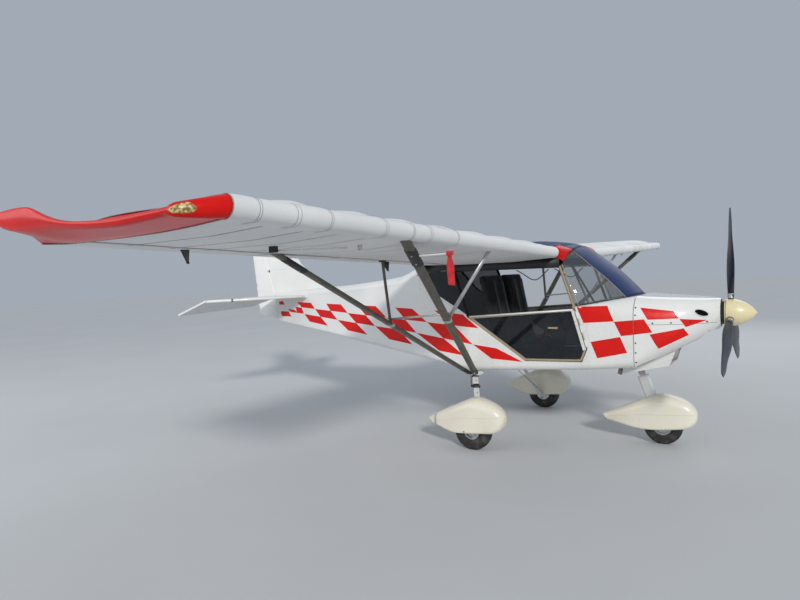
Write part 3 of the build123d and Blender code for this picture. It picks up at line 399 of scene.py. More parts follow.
def chipped_gelcoat():
    """Red gelcoat, worn through to the filler at one place on the right tip's rim."""
    made = Finish("chipped red gelcoat", 0.26, Coat_Weight=0.0, Specular_IOR_Level=0.18)
    red = made.clouds(2.2, 5.0, 0.45, 0.8, RED, RED_DEEP)
    filler = made.clouds(90.0, 4.0, 0.42, 0.58, (0.62, 0.50, 0.24), (0.22, 0.14, 0.05))
    reach = made.blob((at(1.500), -4.245, 1.852), (0.072, 0.060, 0.022))
    ragged = made.maths("ADD", reach, made.maths("MULTIPLY", made.noise(34.0, 5.0), 1.3))
    worn = made.remap(ragged, 1.46, 1.56, 1.0, 0.0)
    made.colour(made.mix(worn, red, filler))
    made.bump(made.noise(3.5, 2.0), 0.004, 0.12)
    made.bump(worn, 0.0015, 0.5)
    return made.material


WHITES = (0.80, 0.80, 0.775), (0.70, 0.70, 0.665)
CLOTHS = (0.77, 0.775, 0.765), (0.66, 0.665, 0.66)
RED, RED_DEEP = (0.70, 0.008, 0.006), (0.56, 0.006, 0.005)

LOOKS = {
    "body_white": paint("white body paint", *WHITES),
    "cowl_white": paint("white cowl gelcoat", *WHITES, rough=0.22, coat=0.6),
    "spat_cream": paint("cream spat gelcoat", (0.80, 0.76, 0.64), (0.68, 0.63, 0.50), rough=0.30, coat=0.4),
    "spinner_cream": paint("cream spinner paint", (0.80, 0.70, 0.42), (0.70, 0.60, 0.34), rough=0.26, coat=0.5),
    "tip_red": paint("red gelcoat", RED, RED_DEEP, rough=0.30, coat=0.0, specular=0.18),
    "chipped_red": chipped_gelcoat(),
    "tail_cloth": fabric("white fuselage cloth", (0.80, 0.80, 0.785), (0.70, 0.70, 0.68), 800.0, 0.42),
    "wing_fabric": fabric("white wing cloth", *CLOTHS),
    "surface_fabric": fabric("white tail cloth", *CLOTHS),
    "frame_tan": paint("tan frame paint", (0.42, 0.33, 0.21), (0.33, 0.25, 0.16), rough=0.4, coat=0.1),
    "firewall_metal": metal("firewall sheet", (0.55, 0.55, 0.56), (0.40, 0.40, 0.41)),
    "engine_grey": plastic("engine casting", (0.06, 0.06, 0.065), (0.12, 0.12, 0.12), 0.55),
    "strut_bronze": metal("bronze strut", (0.16, 0.145, 0.115), (0.12, 0.11, 0.09), 0.42, 0.55),
    "jury_grey": metal("grey tube", (0.56, 0.57, 0.58), (0.44, 0.45, 0.46), 0.35, 0.6),
    "leg_grey": paint("grey leg paint", (0.60, 0.61, 0.61), (0.48, 0.48, 0.47), rough=0.35, coat=0.2),
    "rim_metal": metal("rim alloy", (0.62, 0.63, 0.65), (0.45, 0.46, 0.47), 0.3),
    "tyre_black": tyre_rubber(),
    "blade_black": plastic("blade composite", (0.012, 0.014, 0.022), (0.03, 0.035, 0.05), 0.28, 150.0),
    "seat_black": seat_cloth(),
    "panel_black": plastic("panel black", (0.012, 0.012, 0.013), (0.03, 0.03, 0.03)),
    "control_black": plastic("control black", (0.02, 0.02, 0.02), (0.05, 0.05, 0.05), 0.4),
    "pitot_white": paint("white tube paint", *WHITES),
    "flag_red": streamer_cloth(),
    "aerial_black": plastic("aerial black", (0.015, 0.015, 0.015), (0.04, 0.04, 0.04), 0.35),
    "exhaust_steel": metal("stained steel", (0.42, 0.34, 0.27), (0.22, 0.15, 0.11), 0.45),
    # The clear screen's dark grey colour, about a third opaque, is painted shade of the dim cabin behind it and
    # painted dark reflections.
    "screen_clear": glass("clear screen", (0.10, 0.12, 0.14), 0.30),
    "roof_navy": glass("navy roof sheet", (0.014, 0.036, 0.125), 0.95, 0.40, 0.0, 0.20, 1.2),
    "window_dark": glass("smoked window", (0.006, 0.009, 0.014), 0.66, coat=0.2),
    "chequer_red": paint("red chequer film", (0.72, 0.010, 0.006), (0.60, 0.008, 0.006), 0.36, 0.0, 0.25),
    "trim_black": plastic("black trim", (0.012, 0.012, 0.012), (0.03, 0.03, 0.03), 0.45),
    "steel": metal("bright steel", (0.66, 0.66, 0.67), (0.5, 0.5, 0.5), 0.28),
    "handle_red": plastic("red handle", (0.55, 0.01, 0.012), (0.42, 0.01, 0.01), 0.35),
    "cable_red": plastic("dark red cable", (0.16, 0.012, 0.016), (0.10, 0.01, 0.012), 0.45),
    "tape": fabric("white cloth tape", (0.80, 0.80, 0.79), (0.60, 0.60, 0.58), 1300.0, 0.5),
    "stitching": plastic("grey stitching", (0.20, 0.20, 0.20), (0.34, 0.34, 0.33)),
    "seam_cream": plastic("filled seam", (0.60, 0.56, 0.45), (0.50, 0.46, 0.37)),
    # Dark cowl joint lines; on the chin scoop's line the dark is also painted shade in the crease.
    "joint_dark": plastic("cowl joint", (0.10, 0.10, 0.10), (0.18, 0.18, 0.17), 0.6),
    "belt_black": fabric("belt webbing", (0.020, 0.020, 0.022), (0.05, 0.05, 0.052), 1500.0, 0.6),
}

slot_of = {part["node"]: part["material_slot"] for part in frame["record"]["subparts"]}
for node, part in NODES.items():
    part.data.materials.clear()
    part.data.materials.append(LOOKS[slot_of[node]])


# Wing and tail cloth

SLANT = atan2(0.0397, 1.0)
WING_LE, WING_Z, CHORD, TRAILING_DROP = 1.436, 1.705, 1.440, 0.050
ROOT_SPAN, TIP_SPAN = 0.565, 4.080
RIBS = (0.565, 0.900, 1.350, 1.840, 2.310, 2.745, 3.165, 3.615, 4.080)
CREST, LOWER_BEND = (0.430, 0.105), (0.430, -0.050)
NOSE_TOP, NOSE_LOW = (0.060, 0.048), (0.060, -0.042)


def flattening(u, v):
    """How far the crown sinks in the last bay, towards the thin tip."""
    share = clamp((v - RIBS[-2]) / (TIP_SPAN - RIBS[-2]))
    share *= max(0.0, 1 - max(0.0, v - TIP_SPAN) / 0.095)
    rise = sin(pi / 2 * clamp((u - 0.06) / 0.32)) ** 1.2
    fall = max(0.0, 1 - max(0.0, u - 0.38) / 0.62) ** 0.8
    return 0.064 * share * share * (3 - 2 * share) * rise * fall


def wing_spot(u, w, v, side=-1):
    """A place by distance behind the leading edge, height over the chord and span."""
    lift = w - TRAILING_DROP * u / CHORD
    if w > 0:
        lift -= flattening(u, v) * min(1.0, w / 0.03)
    y = v * cos(SLANT) - lift * sin(SLANT)
    return vec(at(WING_LE) - u, side * y, WING_Z + lift * cos(SLANT) + v * sin(SLANT))


def arc_points(first, middle, last, count):
    """Points on the circle through three points."""
    a, b, c = Vector(first), Vector(middle), Vector(last)
    d = 2 * (a.x * (b.y - c.y) + b.x * (c.y - a.y) + c.x * (a.y - b.y))
    squares = [p.length_squared for p in (a, b, c)]
    centre = Vector((
        (squares[0] * (b.y - c.y) + squares[1] * (c.y - a.y) + squares[2] * (a.y - b.y)) / d,
        (squares[0] * (c.x - b.x) + squares[1] * (a.x - c.x) + squares[2] * (b.x - a.x)) / d,
    ))
    start, way, end = (atan2(p.y - centre.y, p.x - centre.x) for p in (a, b, c))
    sweep = (end - start) % (2 * pi)
    if (way - start) % (2 * pi) > sweep:
        sweep -= 2 * pi
    radius = (a - centre).length
    turns = [start + sweep * i / count for i in range(count + 1)]
    return [Vector((centre.x + radius * cos(t), centre.y + radius * sin(t))) for t in turns]


def wing_outline():
    """The panel's skin from the upper rear edge round the nose to the lower rear edge."""
    line = []
    for first, middle, last, count in (
        ((1.075, 0.044), (0.780, 0.088), CREST, 18), (CREST, (0.220, 0.089), NOSE_TOP, 12),
        (NOSE_TOP, (0.0, 0.0), NOSE_LOW, 16),
    ):
        line += arc_points(first, middle, last, count)[:-1]
    for start, end, count in ((NOSE_LOW, LOWER_BEND, 8), (LOWER_BEND, (1.075, -0.030), 12)):
        start, end = Vector(start), Vector(end)
        line += [start.lerp(end, i / count) for i in range(count + (end.x > 1))]
    return line


OUTLINE = wing_outline()


def outward(index):
    ahead = OUTLINE[min(index + 1, len(OUTLINE) - 1)] - OUTLINE[max(index - 1, 0)]
    return Vector((ahead.y, -ahead.x)).normalized()


def scallop(v, ribs, amount):
    """Height of taut cloth over the hollow between two ribs: a crest on each rib."""
    for start, end in zip(ribs, ribs[1:]):
        if start <= v <= end:
            return amount * (1 - max(0.0, sin(pi * (v - start) / (end - start))) ** 0.85)
    return amount


def span_steps(start, end, ribs, step=0.022):
    ordered = sorted({start, end} | {rib for rib in ribs if start < rib < end})
    line = []
    for a, b in zip(ordered, ordered[1:]):
        count = max(1, round((b - a) / step))
        line += [a + (b - a) * i / count for i in range(count)]
    return line + [end]


def wing_skin(name, side, steps, indices, lift, look):
    rows = []
    for v in steps:
        row = []
        for i in indices:
            p, n = OUTLINE[i], outward(i)
            upper = n.y > 0.05 and p.x > 0.02
            depth = 0.0165 * min(1, p.x / 0.16) if upper else 0.0022
            edge = min(1.0, (v - ROOT_SPAN) / 0.06, (TIP_SPAN - v) / 0.06)
            raised = p + n * (lift + scallop(v, RIBS, depth) * max(edge, 0.08))
            row.append(wing_spot(raised.x, raised.y, v, side))
        rows.append(row)
    return place(grid_piece(name, rows, side > 0), look)


def nearest_index(u, upper):
    picks = [i for i, p in enumerate(OUTLINE) if (p.y > 0) == upper]
    return min(picks, key=lambda i: abs(OUTLINE[i].x - u))


def remade(node, name, cuts, move, slot, triangles=False):
    """A finer copy of a part with its points moved; it takes the part's place."""
    bm = bmesh.new()
    bm.from_mesh(NODES[node].data)
    bm.transform(NODES[node].matrix_world)
    for place_on, across in cuts:
        everything = bm.verts[:] + bm.edges[:] + bm.faces[:]
        bmesh.ops.bisect_plane(bm, geom=everything, plane_co=place_on, plane_no=across)
    for vertex in bm.verts:
        vertex.co = move(*vertex.co)
    if triangles:
        bmesh.ops.triangulate(bm, faces=bm.faces)
    mesh = bpy.data.meshes.new(name)
    bm.to_mesh(mesh)
    bm.free()
    piece = place(link(name, mesh), slot, smooth=False)
    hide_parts(node)
    SHOWN[node] = [piece]


def wing_panels():
    """The CAD panels with their last bay flattened like the cloth over it."""
    for word, side in SIDES.items():
        def move(x, y, z):
            v = abs(y) * cos(SLANT) + (z - WING_Z) * sin(SLANT)
            lift = (z - WING_Z) * cos(SLANT) - abs(y) * sin(SLANT)
            u = at(WING_LE) - x
            return wing_spot(u, lift + TRAILING_DROP * u / CHORD, v, side)

        cuts = [((0, side * v, WING_Z + 0.16), (0, 1, 0)) for v in (RIBS[-2], 3.70, 3.78, 3.86, 3.94, 4.02)]
        remade(f"wing_{word}", f"wing panel {word}", cuts, move, "wing_fabric")


def wing_cloth():
    front = range(nearest_index(0.15, True), nearest_index(0.10, False) + 1)
    below = range(nearest_index(0.10, False), len(OUTLINE))
    hinge = nearest_index(1.02, False)
    for word, side in SIDES.items():
        steps = span_steps(ROOT_SPAN + 0.001, TIP_SPAN - 0.001, RIBS)
        wing_skin(f"wing cloth {word}", side, steps, range(len(OUTLINE)), 0.0008, "wing_fabric")
        for number, v in enumerate((2.370, 2.685, 2.865, 3.118, 3.535, 3.740, 3.950)):
            half = 0.010 if number % 2 else 0.006
            wing_skin(f"nose band {number} {word}", side, [v - half, v, v + half], front, 0.0016, "tape")
            for edge in (v - half, v + half):
                name = f"band edge {number} {edge:.3f} {word}"
                wing_skin(name, side, [edge - 0.0012, edge + 0.0012], front, 0.0022, "stitching")
        for number, v in enumerate(RIBS[1:-1] + (1.10, 2.08, 2.53, 3.39, 3.85)):
            wing_skin(f"lower rib {number} {word}", side, [v - 0.003, v + 0.003], below, 0.0020, "stitching")
        wing_skin(f"lower seam {word}", side, steps, range(hinge - 1, hinge + 1), 0.0014, "stitching")
        for u in (0.118, 0.990):
            middle = nearest_index(u, True)
            wing_skin(f"seam {u} {word}", side, steps, range(middle, middle + 2), 0.0013, "tape")


def surface_row(side, upper, ribs, v):
    row = []
    for i in range(13):
        u = 1.126 + 0.310 * i / 12
        w = upper * (0.0285 + (0.0032 - 0.0285) * (u - 1.112) / 0.328) + (0.004 if upper < 0 else 0.0)
        raised = upper * (0.0012 + scallop(v, ribs, 0.0045) * sin(pi * (i + 0.5) / 13))
        row.append(wing_spot(u, w + raised, v, side))
    return row


def surface_cloth():
    """Scalloped cloth over the flaps and ailerons, above and below."""
    for word, side in SIDES.items():
        for name, ribs in (
            ("flap", (0.607, 0.900, 1.350, 1.840, 2.310, 2.843)), ("aileron", (2.862, 3.165, 3.615, 4.053)),
        ):
            for upper in (1, -1):
                rows = [surface_row(side, upper, ribs, v) for v in span_steps(ribs[0], ribs[-1], ribs, 0.03)]
                cloth = grid_piece(f"{name} cloth {word} {upper}", rows, (side > 0) == (upper > 0))
                place(cloth, "surface_fabric", f"{name}_{word}")


# Rear deck and fin root, shaped after the photograph: station and height, or station and drop
RIDGE = ((2.938, 1.700), (4.433, 1.583), (5.520, 1.395))
FIN_EDGE = ((4.450, 1.583), (4.724, 1.674), (5.026, 1.801), (5.420, 2.215))
DECK_DROP = (
    (2.938, 0.0), (2.963, 0.022), (3.103, 0.072), (3.223, 0.107), (3.398, 0.117), (3.765, 0.122),
    (4.063, 0.123), (4.383, 0.114), (4.600, 0.092), (4.857, 0.061), (5.100, 0.028), (5.433, 0.0),
)
EDGE_DROP = ((4.450, 0.112), (4.595, 0.160), (4.739, 0.145), (4.878, 0.073), (5.011, 0.023), (5.060, 0.0))
DECK_BASE = 1.300


def read_off(table, station):
    if station <= table[0][0]:
        return table[0][1]
    for (s0, z0), (s1, z1) in zip(table, table[1:]):
        if station <= s1:
            return z0 + (z1 - z0) * (station - s0) / (s1 - s0)
    return table[-1][1]


def deck_move(station, z):
    share = (z - DECK_BASE) / (read_off(RIDGE, station) - DECK_BASE)
    return z - read_off(DECK_DROP, station) * clamp(share)


def fin_move(station, z):
    low, high = read_off(RIDGE, station), read_off(FIN_EDGE, station)
    share = clamp((z - low) / max(0.001, high - low))
    root, edge = read_off(DECK_DROP, station), read_off(EDGE_DROP, station)
    return z - (root + (edge - root) * share)


def rear_deck():
    cuts = [((at(2.96 + 0.075 * i), 0, 0), (1, 0, 0)) for i in range(34)]
    cuts += [((0, 0, 1.301 + 0.045 * i), (0, 0, 1)) for i in range(12)]
    for node, name, lower in (
        ("rear_fuselage", "rear fuselage cloth", deck_move), ("fin", "fin cloth", fin_move),
    ):
        remade(node, name, cuts, lambda x, y, z: vec(x, y, lower(NOSE_X - x, z)), "tail_cloth", triangles=True)


# Films cast onto the parts: chequers, tapes, seams and flat bolt heads

FILM_START = 3.0  # metres before the part, where the rays of a film begin
NUDGE = 0.0013


def tree_of(*nodes):
    points, faces = [], []
    for part in [piece for node in nodes for piece in SHOWN.get(node, [NODES[node]])]:
        base = len(points)
        points += [part.matrix_world @ v.co for v in part.data.vertices]
        faces += [[base + i for i in face.vertices] for face in part.data.polygons]
    return BVHTree.FromPolygons(points, faces)


class Film:
    """Thin patches that lie on the parts, each cast along one direction."""

    def __init__(self, nodes, way, lift=0.0009, step=0.018):
        self.tree, self.way, self.lift, self.step = tree_of(*nodes), Vector(way), lift, step
        self.points, self.faces = [], []

    def cast(self, point):
        """The nearest of three hits a little apart, so that no ray slips through a joint."""
        hits = []
        for nudge in (vec(), vec(NUDGE, 0, NUDGE), vec(-NUDGE, 0, -NUDGE)):
            hit, normal = self.tree.ray_cast(point - self.way * FILM_START + nudge, self.way)[:2]
            if hit:
                hits.append((hit - nudge, normal))
        return min(hits, key=lambda pair: pair[0].dot(self.way) // 0.02, default=(None, None))

    def patch(self, corners):
        a, b, c, d = (Vector(p) for p in corners)
        across = max(1, ceil(max((b - a).length, (c - d).length) / self.step))
        down = max(1, ceil(max((d - a).length, (c - b).length) / self.step))
        marks = {}
        for i in range(down + 1):
            for j in range(across + 1):
                s, t = j / across, i / down
                hit, normal = self.cast(a.lerp(b, s).lerp(d.lerp(c, s), t))
                if hit is None:
                    continue
                if normal.dot(self.way) > 0:
                    normal = -normal
                marks[i, j] = len(self.points)
                self.points.append(hit + normal * self.lift)
        for i in range(down):
            for j in range(across):
                ring = [(i, j), (i, j + 1), (i + 1, j + 1), (i + 1, j)]
                if all(key in marks for key in ring):
                    face = [marks[key] for key in ring]
                    if max((self.points[p] - self.points[q]).length for p in face for q in face) < 4 * self.step:
                        self.faces.append(face)

    def ribbon(self, line, width):
        """A strip of constant width along a line of points."""
        line = [Vector(p) for p in line]
        for a, b in zip(line, line[1:]):
            side = (b - a).cross(self.way).normalized() * width / 2
            self.patch((a - side, b - side, b + side, a + side))
        return self

    def finish(self, name, look, body="airframe"):
        piece = mesh_from(name, self.points, self.faces)
        mesh = piece.data
        for face in mesh.polygons:
            if face.normal.dot(self.way) > 0:
                face.flip()
        mesh.update()
        return place(piece, look, body)


CHEQUER_LINES = (
    ((5.000, 1.290), (4.300, 1.268), (3.700, 1.255), (3.170, 1.233), (2.758, 1.216), (2.450, 1.190)),
    ((4.790, 1.215), (4.214, 1.177), (3.608, 1.137), (3.015, 1.104), (2.386, 1.063)),
    ((4.950, 1.148), (4.397, 1.096), (3.773, 1.040), (3.133, 0.994), (2.542, 0.925), (2.122, 0.875)),
    ((5.240, 1.103), (4.594, 1.025), (3.900, 0.943), (3.224, 0.873), (2.550, 0.790), (1.900, 0.758)),
)
CHEQUER_COLUMNS = (
    (5.000, 4.916, 4.866, 4.767), (4.724, 4.655, 4.553, 4.421), (4.433, 4.362, 4.241, 4.058),
    (4.169, 4.056, 3.918, 3.741), (3.884, 3.757, 3.610, 3.400), (3.589, 3.429, 3.262, 3.066),
    (3.290, 3.154, 3.004, 2.710), (3.050, 2.857, 2.650, 2.403), (2.758, 2.510, 2.300, 2.109),
    (2.400, 2.232, 2.055, 1.800),
)
CHEQUER_LOOSE = (
    ((5.390, 1.294), (5.308, 1.300), (5.270, 1.253), (5.384, 1.256)),
    ((5.199, 1.198), (5.059, 1.189), (5.011, 1.152), (5.149, 1.161)),
    ((5.039, 1.230), (4.920, 1.217), (4.875, 1.144), (5.019, 1.152)),
    ((5.364, 1.168), (5.193, 1.165), (5.136, 1.102), (5.342, 1.103)),
    ((1.299, 1.254), (1.052, 1.258), (0.998, 1.130), (1.242, 1.116)),
    ((0.999, 1.127), (0.772, 1.146), (0.712, 1.038), (0.945, 1.008)),
    ((1.187, 0.955), (0.954, 1.000), (0.901, 0.869), (1.136, 0.817)),
    ((0.802, 1.240), (0.566, 1.207), (0.526, 1.148), (0.744, 1.142)),
    ((0.522, 1.144), (0.342, 1.126), (0.346, 1.122), (0.480, 1.076)),
    ((0.733, 1.021), (0.494, 1.067), (0.462, 1.011), (0.673, 0.902)),
)


def height_on(line, station):
    pairs = list(zip(line, line[1:]))
    for (s0, z0), (s1, z1) in pairs:
        if s1 <= station:
            break
    return z0 + (z1 - z0) * (station - s0) / (s1 - s0)


def chequers():
    for word, side in SIDES.items():
        film = Film(("cabin_tub", "rear_fuselage", "upper_cowl", "lower_cowl"), (0, -side, 0))
        for column, (aft, fore) in enumerate(zip(CHEQUER_COLUMNS, CHEQUER_COLUMNS[1:])):
            for row in range(column % 2, 3, 2):
                high, low = CHEQUER_LINES[row], CHEQUER_LINES[row + 1]
                marks = (aft[row], high), (fore[row], high), (fore[row + 1], low), (aft[row + 1], low)
                corners = [(s, min(height_on(line, s), 1.179 if s < 2.45 else 9)) for s, line in marks]
                film.patch(profile(*corners))
        for corners in CHEQUER_LOOSE:
            film.patch(profile(*corners))
        film.finish(f"chequers {word}", "chequer_red")


def side_film(name, nodes, side, tapes, look, body="airframe", lift=0.0008, step=0.02):
    """Ribbons cast onto parts from one side: a width, then stations and heights."""
    film = Film(nodes, (0, -side, 0), lift, step)
    for width, *pairs in tapes:
        film.ribbon(profile(*pairs), width)
    film.finish(name, look, body)


DOT = 0.0055  # half the width of a flat bolt head


def side_dots(name, nodes, side, centres, half, look, lift, step):
    film = Film(nodes, (0, -side, 0), lift, step)
    for s, z in centres:
        film.patch(profile((s - half, z - half), (s + half, z - half), (s + half, z + half), (s - half, z + half)))
    film.finish(name, look)


# Canopy rows: crown station and height, side station and height, half width
SCREEN_ROWS = (
    (0.864, 1.3315, 1.308, 1.262, 0.546),
    (0.945, 1.424, 1.322, 1.305, 0.548),
    (1.028, 1.511, 1.336, 1.350, 0.549),
    (1.124, 1.598, 1.350, 1.395, 0.549),
    (1.211, 1.667, 1.364, 1.440, 0.549),
    (1.273, 1.715, 1.380, 1.495, 0.549),
    (1.336, 1.758, 1.398, 1.552, 0.549),
    (1.401, 1.789, 1.418, 1.616, 0.549),
)
ROOF_CROWN = (
    (1.504, 1.822), (1.600, 1.838), (1.700, 1.849), (1.810, 1.855), (2.000, 1.852), (2.200, 1.832),
    (2.400, 1.804), (2.600, 1.770), (2.760, 1.738), (2.872, 1.712),
)
BAND_Y, PANE_EDGE, ROOF_EDGE = 0.30, 0.5485, 0.5595
PANE = 0.004


def row_point(row, y):
    station, z, foot_station, foot_z, half = row
    rise = Vector((foot_station - station, z - foot_z))
    height = rise.length
    radius = (half * half + height * height) / (2 * height)
    share = (sqrt(radius * radius - y * y) - radius + height) / height
    return spot(foot_station - rise.x * share, y, foot_z + rise.y * share)


def row_line(row, start, end, count, lift=0.0, forward=0.0):
    line = [row_point(row, start + (end - start) * i / count) for i in range(count + 1)]
    return [p + vec(forward, 0, lift) for p in line]


def roof_row(station, z):
    """From wing root to wing root, level with the upper cloth at both sides."""
    line = [p for p in OUTLINE if p.y > 0]
    u = station - WING_LE
    near = sorted(line, key=lambda p: abs(p.x - u))[:2]
    side_z = max(wing_spot(u, p.y, ROOT_SPAN).z for p in near)
    if u > 1.075:
        side_z = wing_spot(u, 0.044 - 0.041 * (u - 1.075) / 0.365, ROOT_SPAN).z
    return (station, z, station, min(side_z + 0.003, z - 0.01), 0.560)


def sheet(name, rows, slot, swap=None, thickness=0.003, look=None):
    piece = grid_piece(name, rows)
    bm = bmesh.new()
    bm.from_mesh(piece.data)
    bmesh.ops.recalc_face_normals(bm, faces=bm.faces)
    if sum(face.normal.z for face in bm.faces) < 0:
        bmesh.ops.reverse_faces(bm, faces=bm.faces)
    bm.to_mesh(piece.data)
    bm.free()
    thicken(piece, thickness, -1)
    place(piece, look or slot)
    if swap:
        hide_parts(swap)


def finer(rows, parts=3):
    """More rows between the given ones, on smooth curves through them."""
    made = []
    for i in range(len(rows) - 1):
        p0, p1, p2, p3 = (rows[max(0, min(len(rows) - 1, k))] for k in (i - 1, i, i + 1, i + 2))
        for k in range(parts):
            t = k / parts
            made.append(tuple(
                0.5 * (2 * b + (c - a) * t + (2 * a - 5 * b + 4 * c - d) * t * t + (3 * b - a - 3 * c + d) * t ** 3)
                for a, b, c, d in zip(p0, p1, p2, p3)
            ))
    return made + [rows[-1]]


def canopy():
    rows, brow = finer(SCREEN_ROWS), SCREEN_ROWS[-1]
    for word, side in SIDES.items():
        strips = [row_line(row, side * BAND_Y, side * min(PANE_EDGE, row[4] - 0.0002), 16) for row in rows]
        sheet(f"screen {word}", strips, "screen_clear", "windscreen", PANE)
    sheet("screen band", [row_line(row, -BAND_Y, BAND_Y, 24) for row in rows], "roof_navy", "windscreen", PANE)
    roof = finer([roof_row(s, z) for s, z in ROOF_CROWN])
    front = [row_line(brow, -0.27, 0.27, 28), row_line(roof[0], -0.350, 0.350, 28)]
    sheet("roof front", front, "roof_navy", "roof_sheet", PANE)
    main = [row_line(row, -ROOF_EDGE, ROOF_EDGE, 36) for row in roof]
    sheet("roof", main, "roof_navy", "roof_sheet", PANE)
    rear = []
    for i in range(37):
        y = -0.452 + 0.904 * i / 36
        over = max(0.0, abs(y) - 0.329)
        rear.append(spot(2.958, y, 1.569 + sqrt(max(0.0, 0.120 ** 2 - over * over))))
    sheet("roof rear", [main[-1], rear], "roof_navy", "roof_sheet", PANE)
    for word, side in SIDES.items():
        nose = arc_points(NOSE_TOP, (0.0, 0.0), NOSE_LOW, 16)
        outer = [wing_spot(p.x, p.y, ROOT_SPAN - 0.001, side) for p in nose]
        route = [
            spot(1.504, side * 0.350, row_point(roof[0], 0.350).z), spot(1.462, side * 0.318, 1.782),
            spot(1.425, side * 0.288, 1.764), *(row_point(brow, side * y) for y in (0.262, 0.355, 0.445, 0.505)),
        ]
        inner = spread(route, 16)
        lines = []
        for j in range(9):
            bulge = 0.016 * sin(pi * j / 8)
            lines.append([a.lerp(b, j / 8) + vec(bulge, 0, bulge * 0.3) for a, b in zip(outer, inner)])
        sheet(f"root fairing {word}", lines, "tip_red", "root_fairings")
        foot = ((1.440, 0.548), (1.700, 0.551), (2.000, 0.551), (2.341, 0.549), (2.600, 0.505), (2.935, 0.455))
        wall = [[spot(s, side * y, z) for z in (1.598, 1.640, 1.684)] for s, y in foot]
        sheet(f"roof side {word}", wall, "panel_black", look="trim_black")
        trim = Builder()
        rail = ((1.444, 0.526), (2.341, 0.526), (2.925, 0.425))
        trim.path([spot(s, side * y, 1.607) for s, y in rail], 0.0128, 14)
        trim.path([spot(2.360, side * 0.523, 1.162), spot(2.502, side * 0.497, 1.607)], 0.0138, 14)
        trim.finish(f"rail covers {word}", "trim_black", slot="panel_black", smooth=True)


def screen_details():
    foot, brow = SCREEN_ROWS[0], SCREEN_ROWS[-1]
    seal = Builder().path(row_line(foot, -0.545, 0.545, 40, lift=0.0005, forward=0.002), 0.0040, 8)
    seal.path(row_line(brow, -0.26, 0.26, 24, lift=0.001), 0.0026, 8)
    seal.finish("screen seal", "trim_black", slot="panel_black", smooth=True)
    rivets = Builder()
    for p in row_line(foot, -0.53, 0.53, 26, lift=-0.003, forward=0.016):
        rivets.ball(p, 0.0042, (1, 1, 0.6))
    rivets.finish("screen rivets", "trim_black", smooth=True)
    edge = Builder()
    for side in (-1, 1):
        edge.path([row_point(row, side * BAND_Y) + vec(z=0.002) for row in SCREEN_ROWS], 0.0034, 8)
        edge.path([row_point(row, side * 0.541) + vec(y=side * 0.001) for row in SCREEN_ROWS], 0.0045, 8)
    edge.finish("screen strips", "frame_tan", slot="frame_tan", smooth=True)


def door_details():
    rim = (
        (1.29, 0.80), (1.42, 0.787), (1.56, 0.784), (1.70, 0.781), (1.80, 0.800), (1.92, 0.884), (2.04, 0.966),
        (2.16, 1.049), (2.27, 1.125),
    )
    upper = [(s, 1.218 - (s - 1.33) * 0.0686 - 0.006) for s in (1.42, 1.60, 1.80, 2.00, 2.20)]
    for word, side in SIDES.items():
        body, y = f"door_{word}", side * 0.5525
        ends = [spot(s, y + side * 0.004, z) for s, z in ((1.330, 1.228), (2.322, 1.160))]
        Builder().path(ends, 0.0085, 14).finish(f"door top tube {word}", "pitot_white", body, smooth=True)
        corners = ((1.322, 1.222), (1.346, 1.220), (1.252, 0.880), (1.226, 0.886))
        strip = Builder().plate([spot(s, y, z) for s, z in corners], (0, 0.0012, 0))
        strip.finish(f"door hinge strip {word}", "pitot_white", body)
        bolts = Builder()
        for i in range(9):
            s, z = 1.336 + (1.244 - 1.336) * i / 8, 1.206 + (0.900 - 1.206) * i / 8
            bolts.ball(spot(s, y + side * 0.001, z), 0.0042, (1, 0.5, 1))
        for places, radius in ((rim, 0.0042), (upper, 0.004)):
            for s, z in places:
                bolts.ball(spot(s, side * 0.5505, z), radius, (1, 0.5, 1))
        bolts.finish(f"door bolts {word}", "steel", body, smooth=True)
        handle = Builder().block(spot(1.512, side * 0.549, 1.068), (0.085, 0.010, 0.016), 0.003)
        handle.rod(spot(1.480, side * 0.540, 1.068), spot(1.480, side * 0.553, 1.068), 0.010, 14)
        handle.finish(f"door handle {word}", "frame_tan", body)


FRONT_STRUT = (spot(2.277, -0.565, 0.622), spot(1.498, -2.870, 1.780))
REAR_STRUT = (spot(2.344, -0.565, 0.622), spot(2.466, -2.930, 1.772))
FRONT_JURY, REAR_JURY = 0.535, 0.500  # shares of the lift struts' lengths


def along(ends, share):
    return ends[0].lerp(ends[1], share)


def strut_details():
    dark, pale, bolts = Builder(), Builder(), Builder()
    for strut, jury in ((FRONT_STRUT, FRONT_JURY), (REAR_STRUT, REAR_JURY)):
        dark.sleeve(along(strut, 0.885), along(strut, 0.955), 0.074, 0.038)
        pale.sleeve(along(strut, jury - 0.007), along(strut, jury + 0.007), 0.070, 0.036)
        dark.sleeve(along(strut, 0.012), along(strut, 0.050), 0.070, 0.034)
        way = (strut[1] - strut[0]).normalized()
        thin = way.cross(UP.cross(way).normalized()) * 0.024
        for share in (0.020, 0.035, jury, 0.90, 0.94):
            centre = along(strut, share)
            bolts.rod(centre - thin, centre + thin, 0.006, 6)
    dark.finish("strut cuffs", "trim_black", mirror=True)
    pale.finish("jury clamps", "jury_grey", mirror=True)
    bolts.finish("strut bolts", "steel", mirror=True)


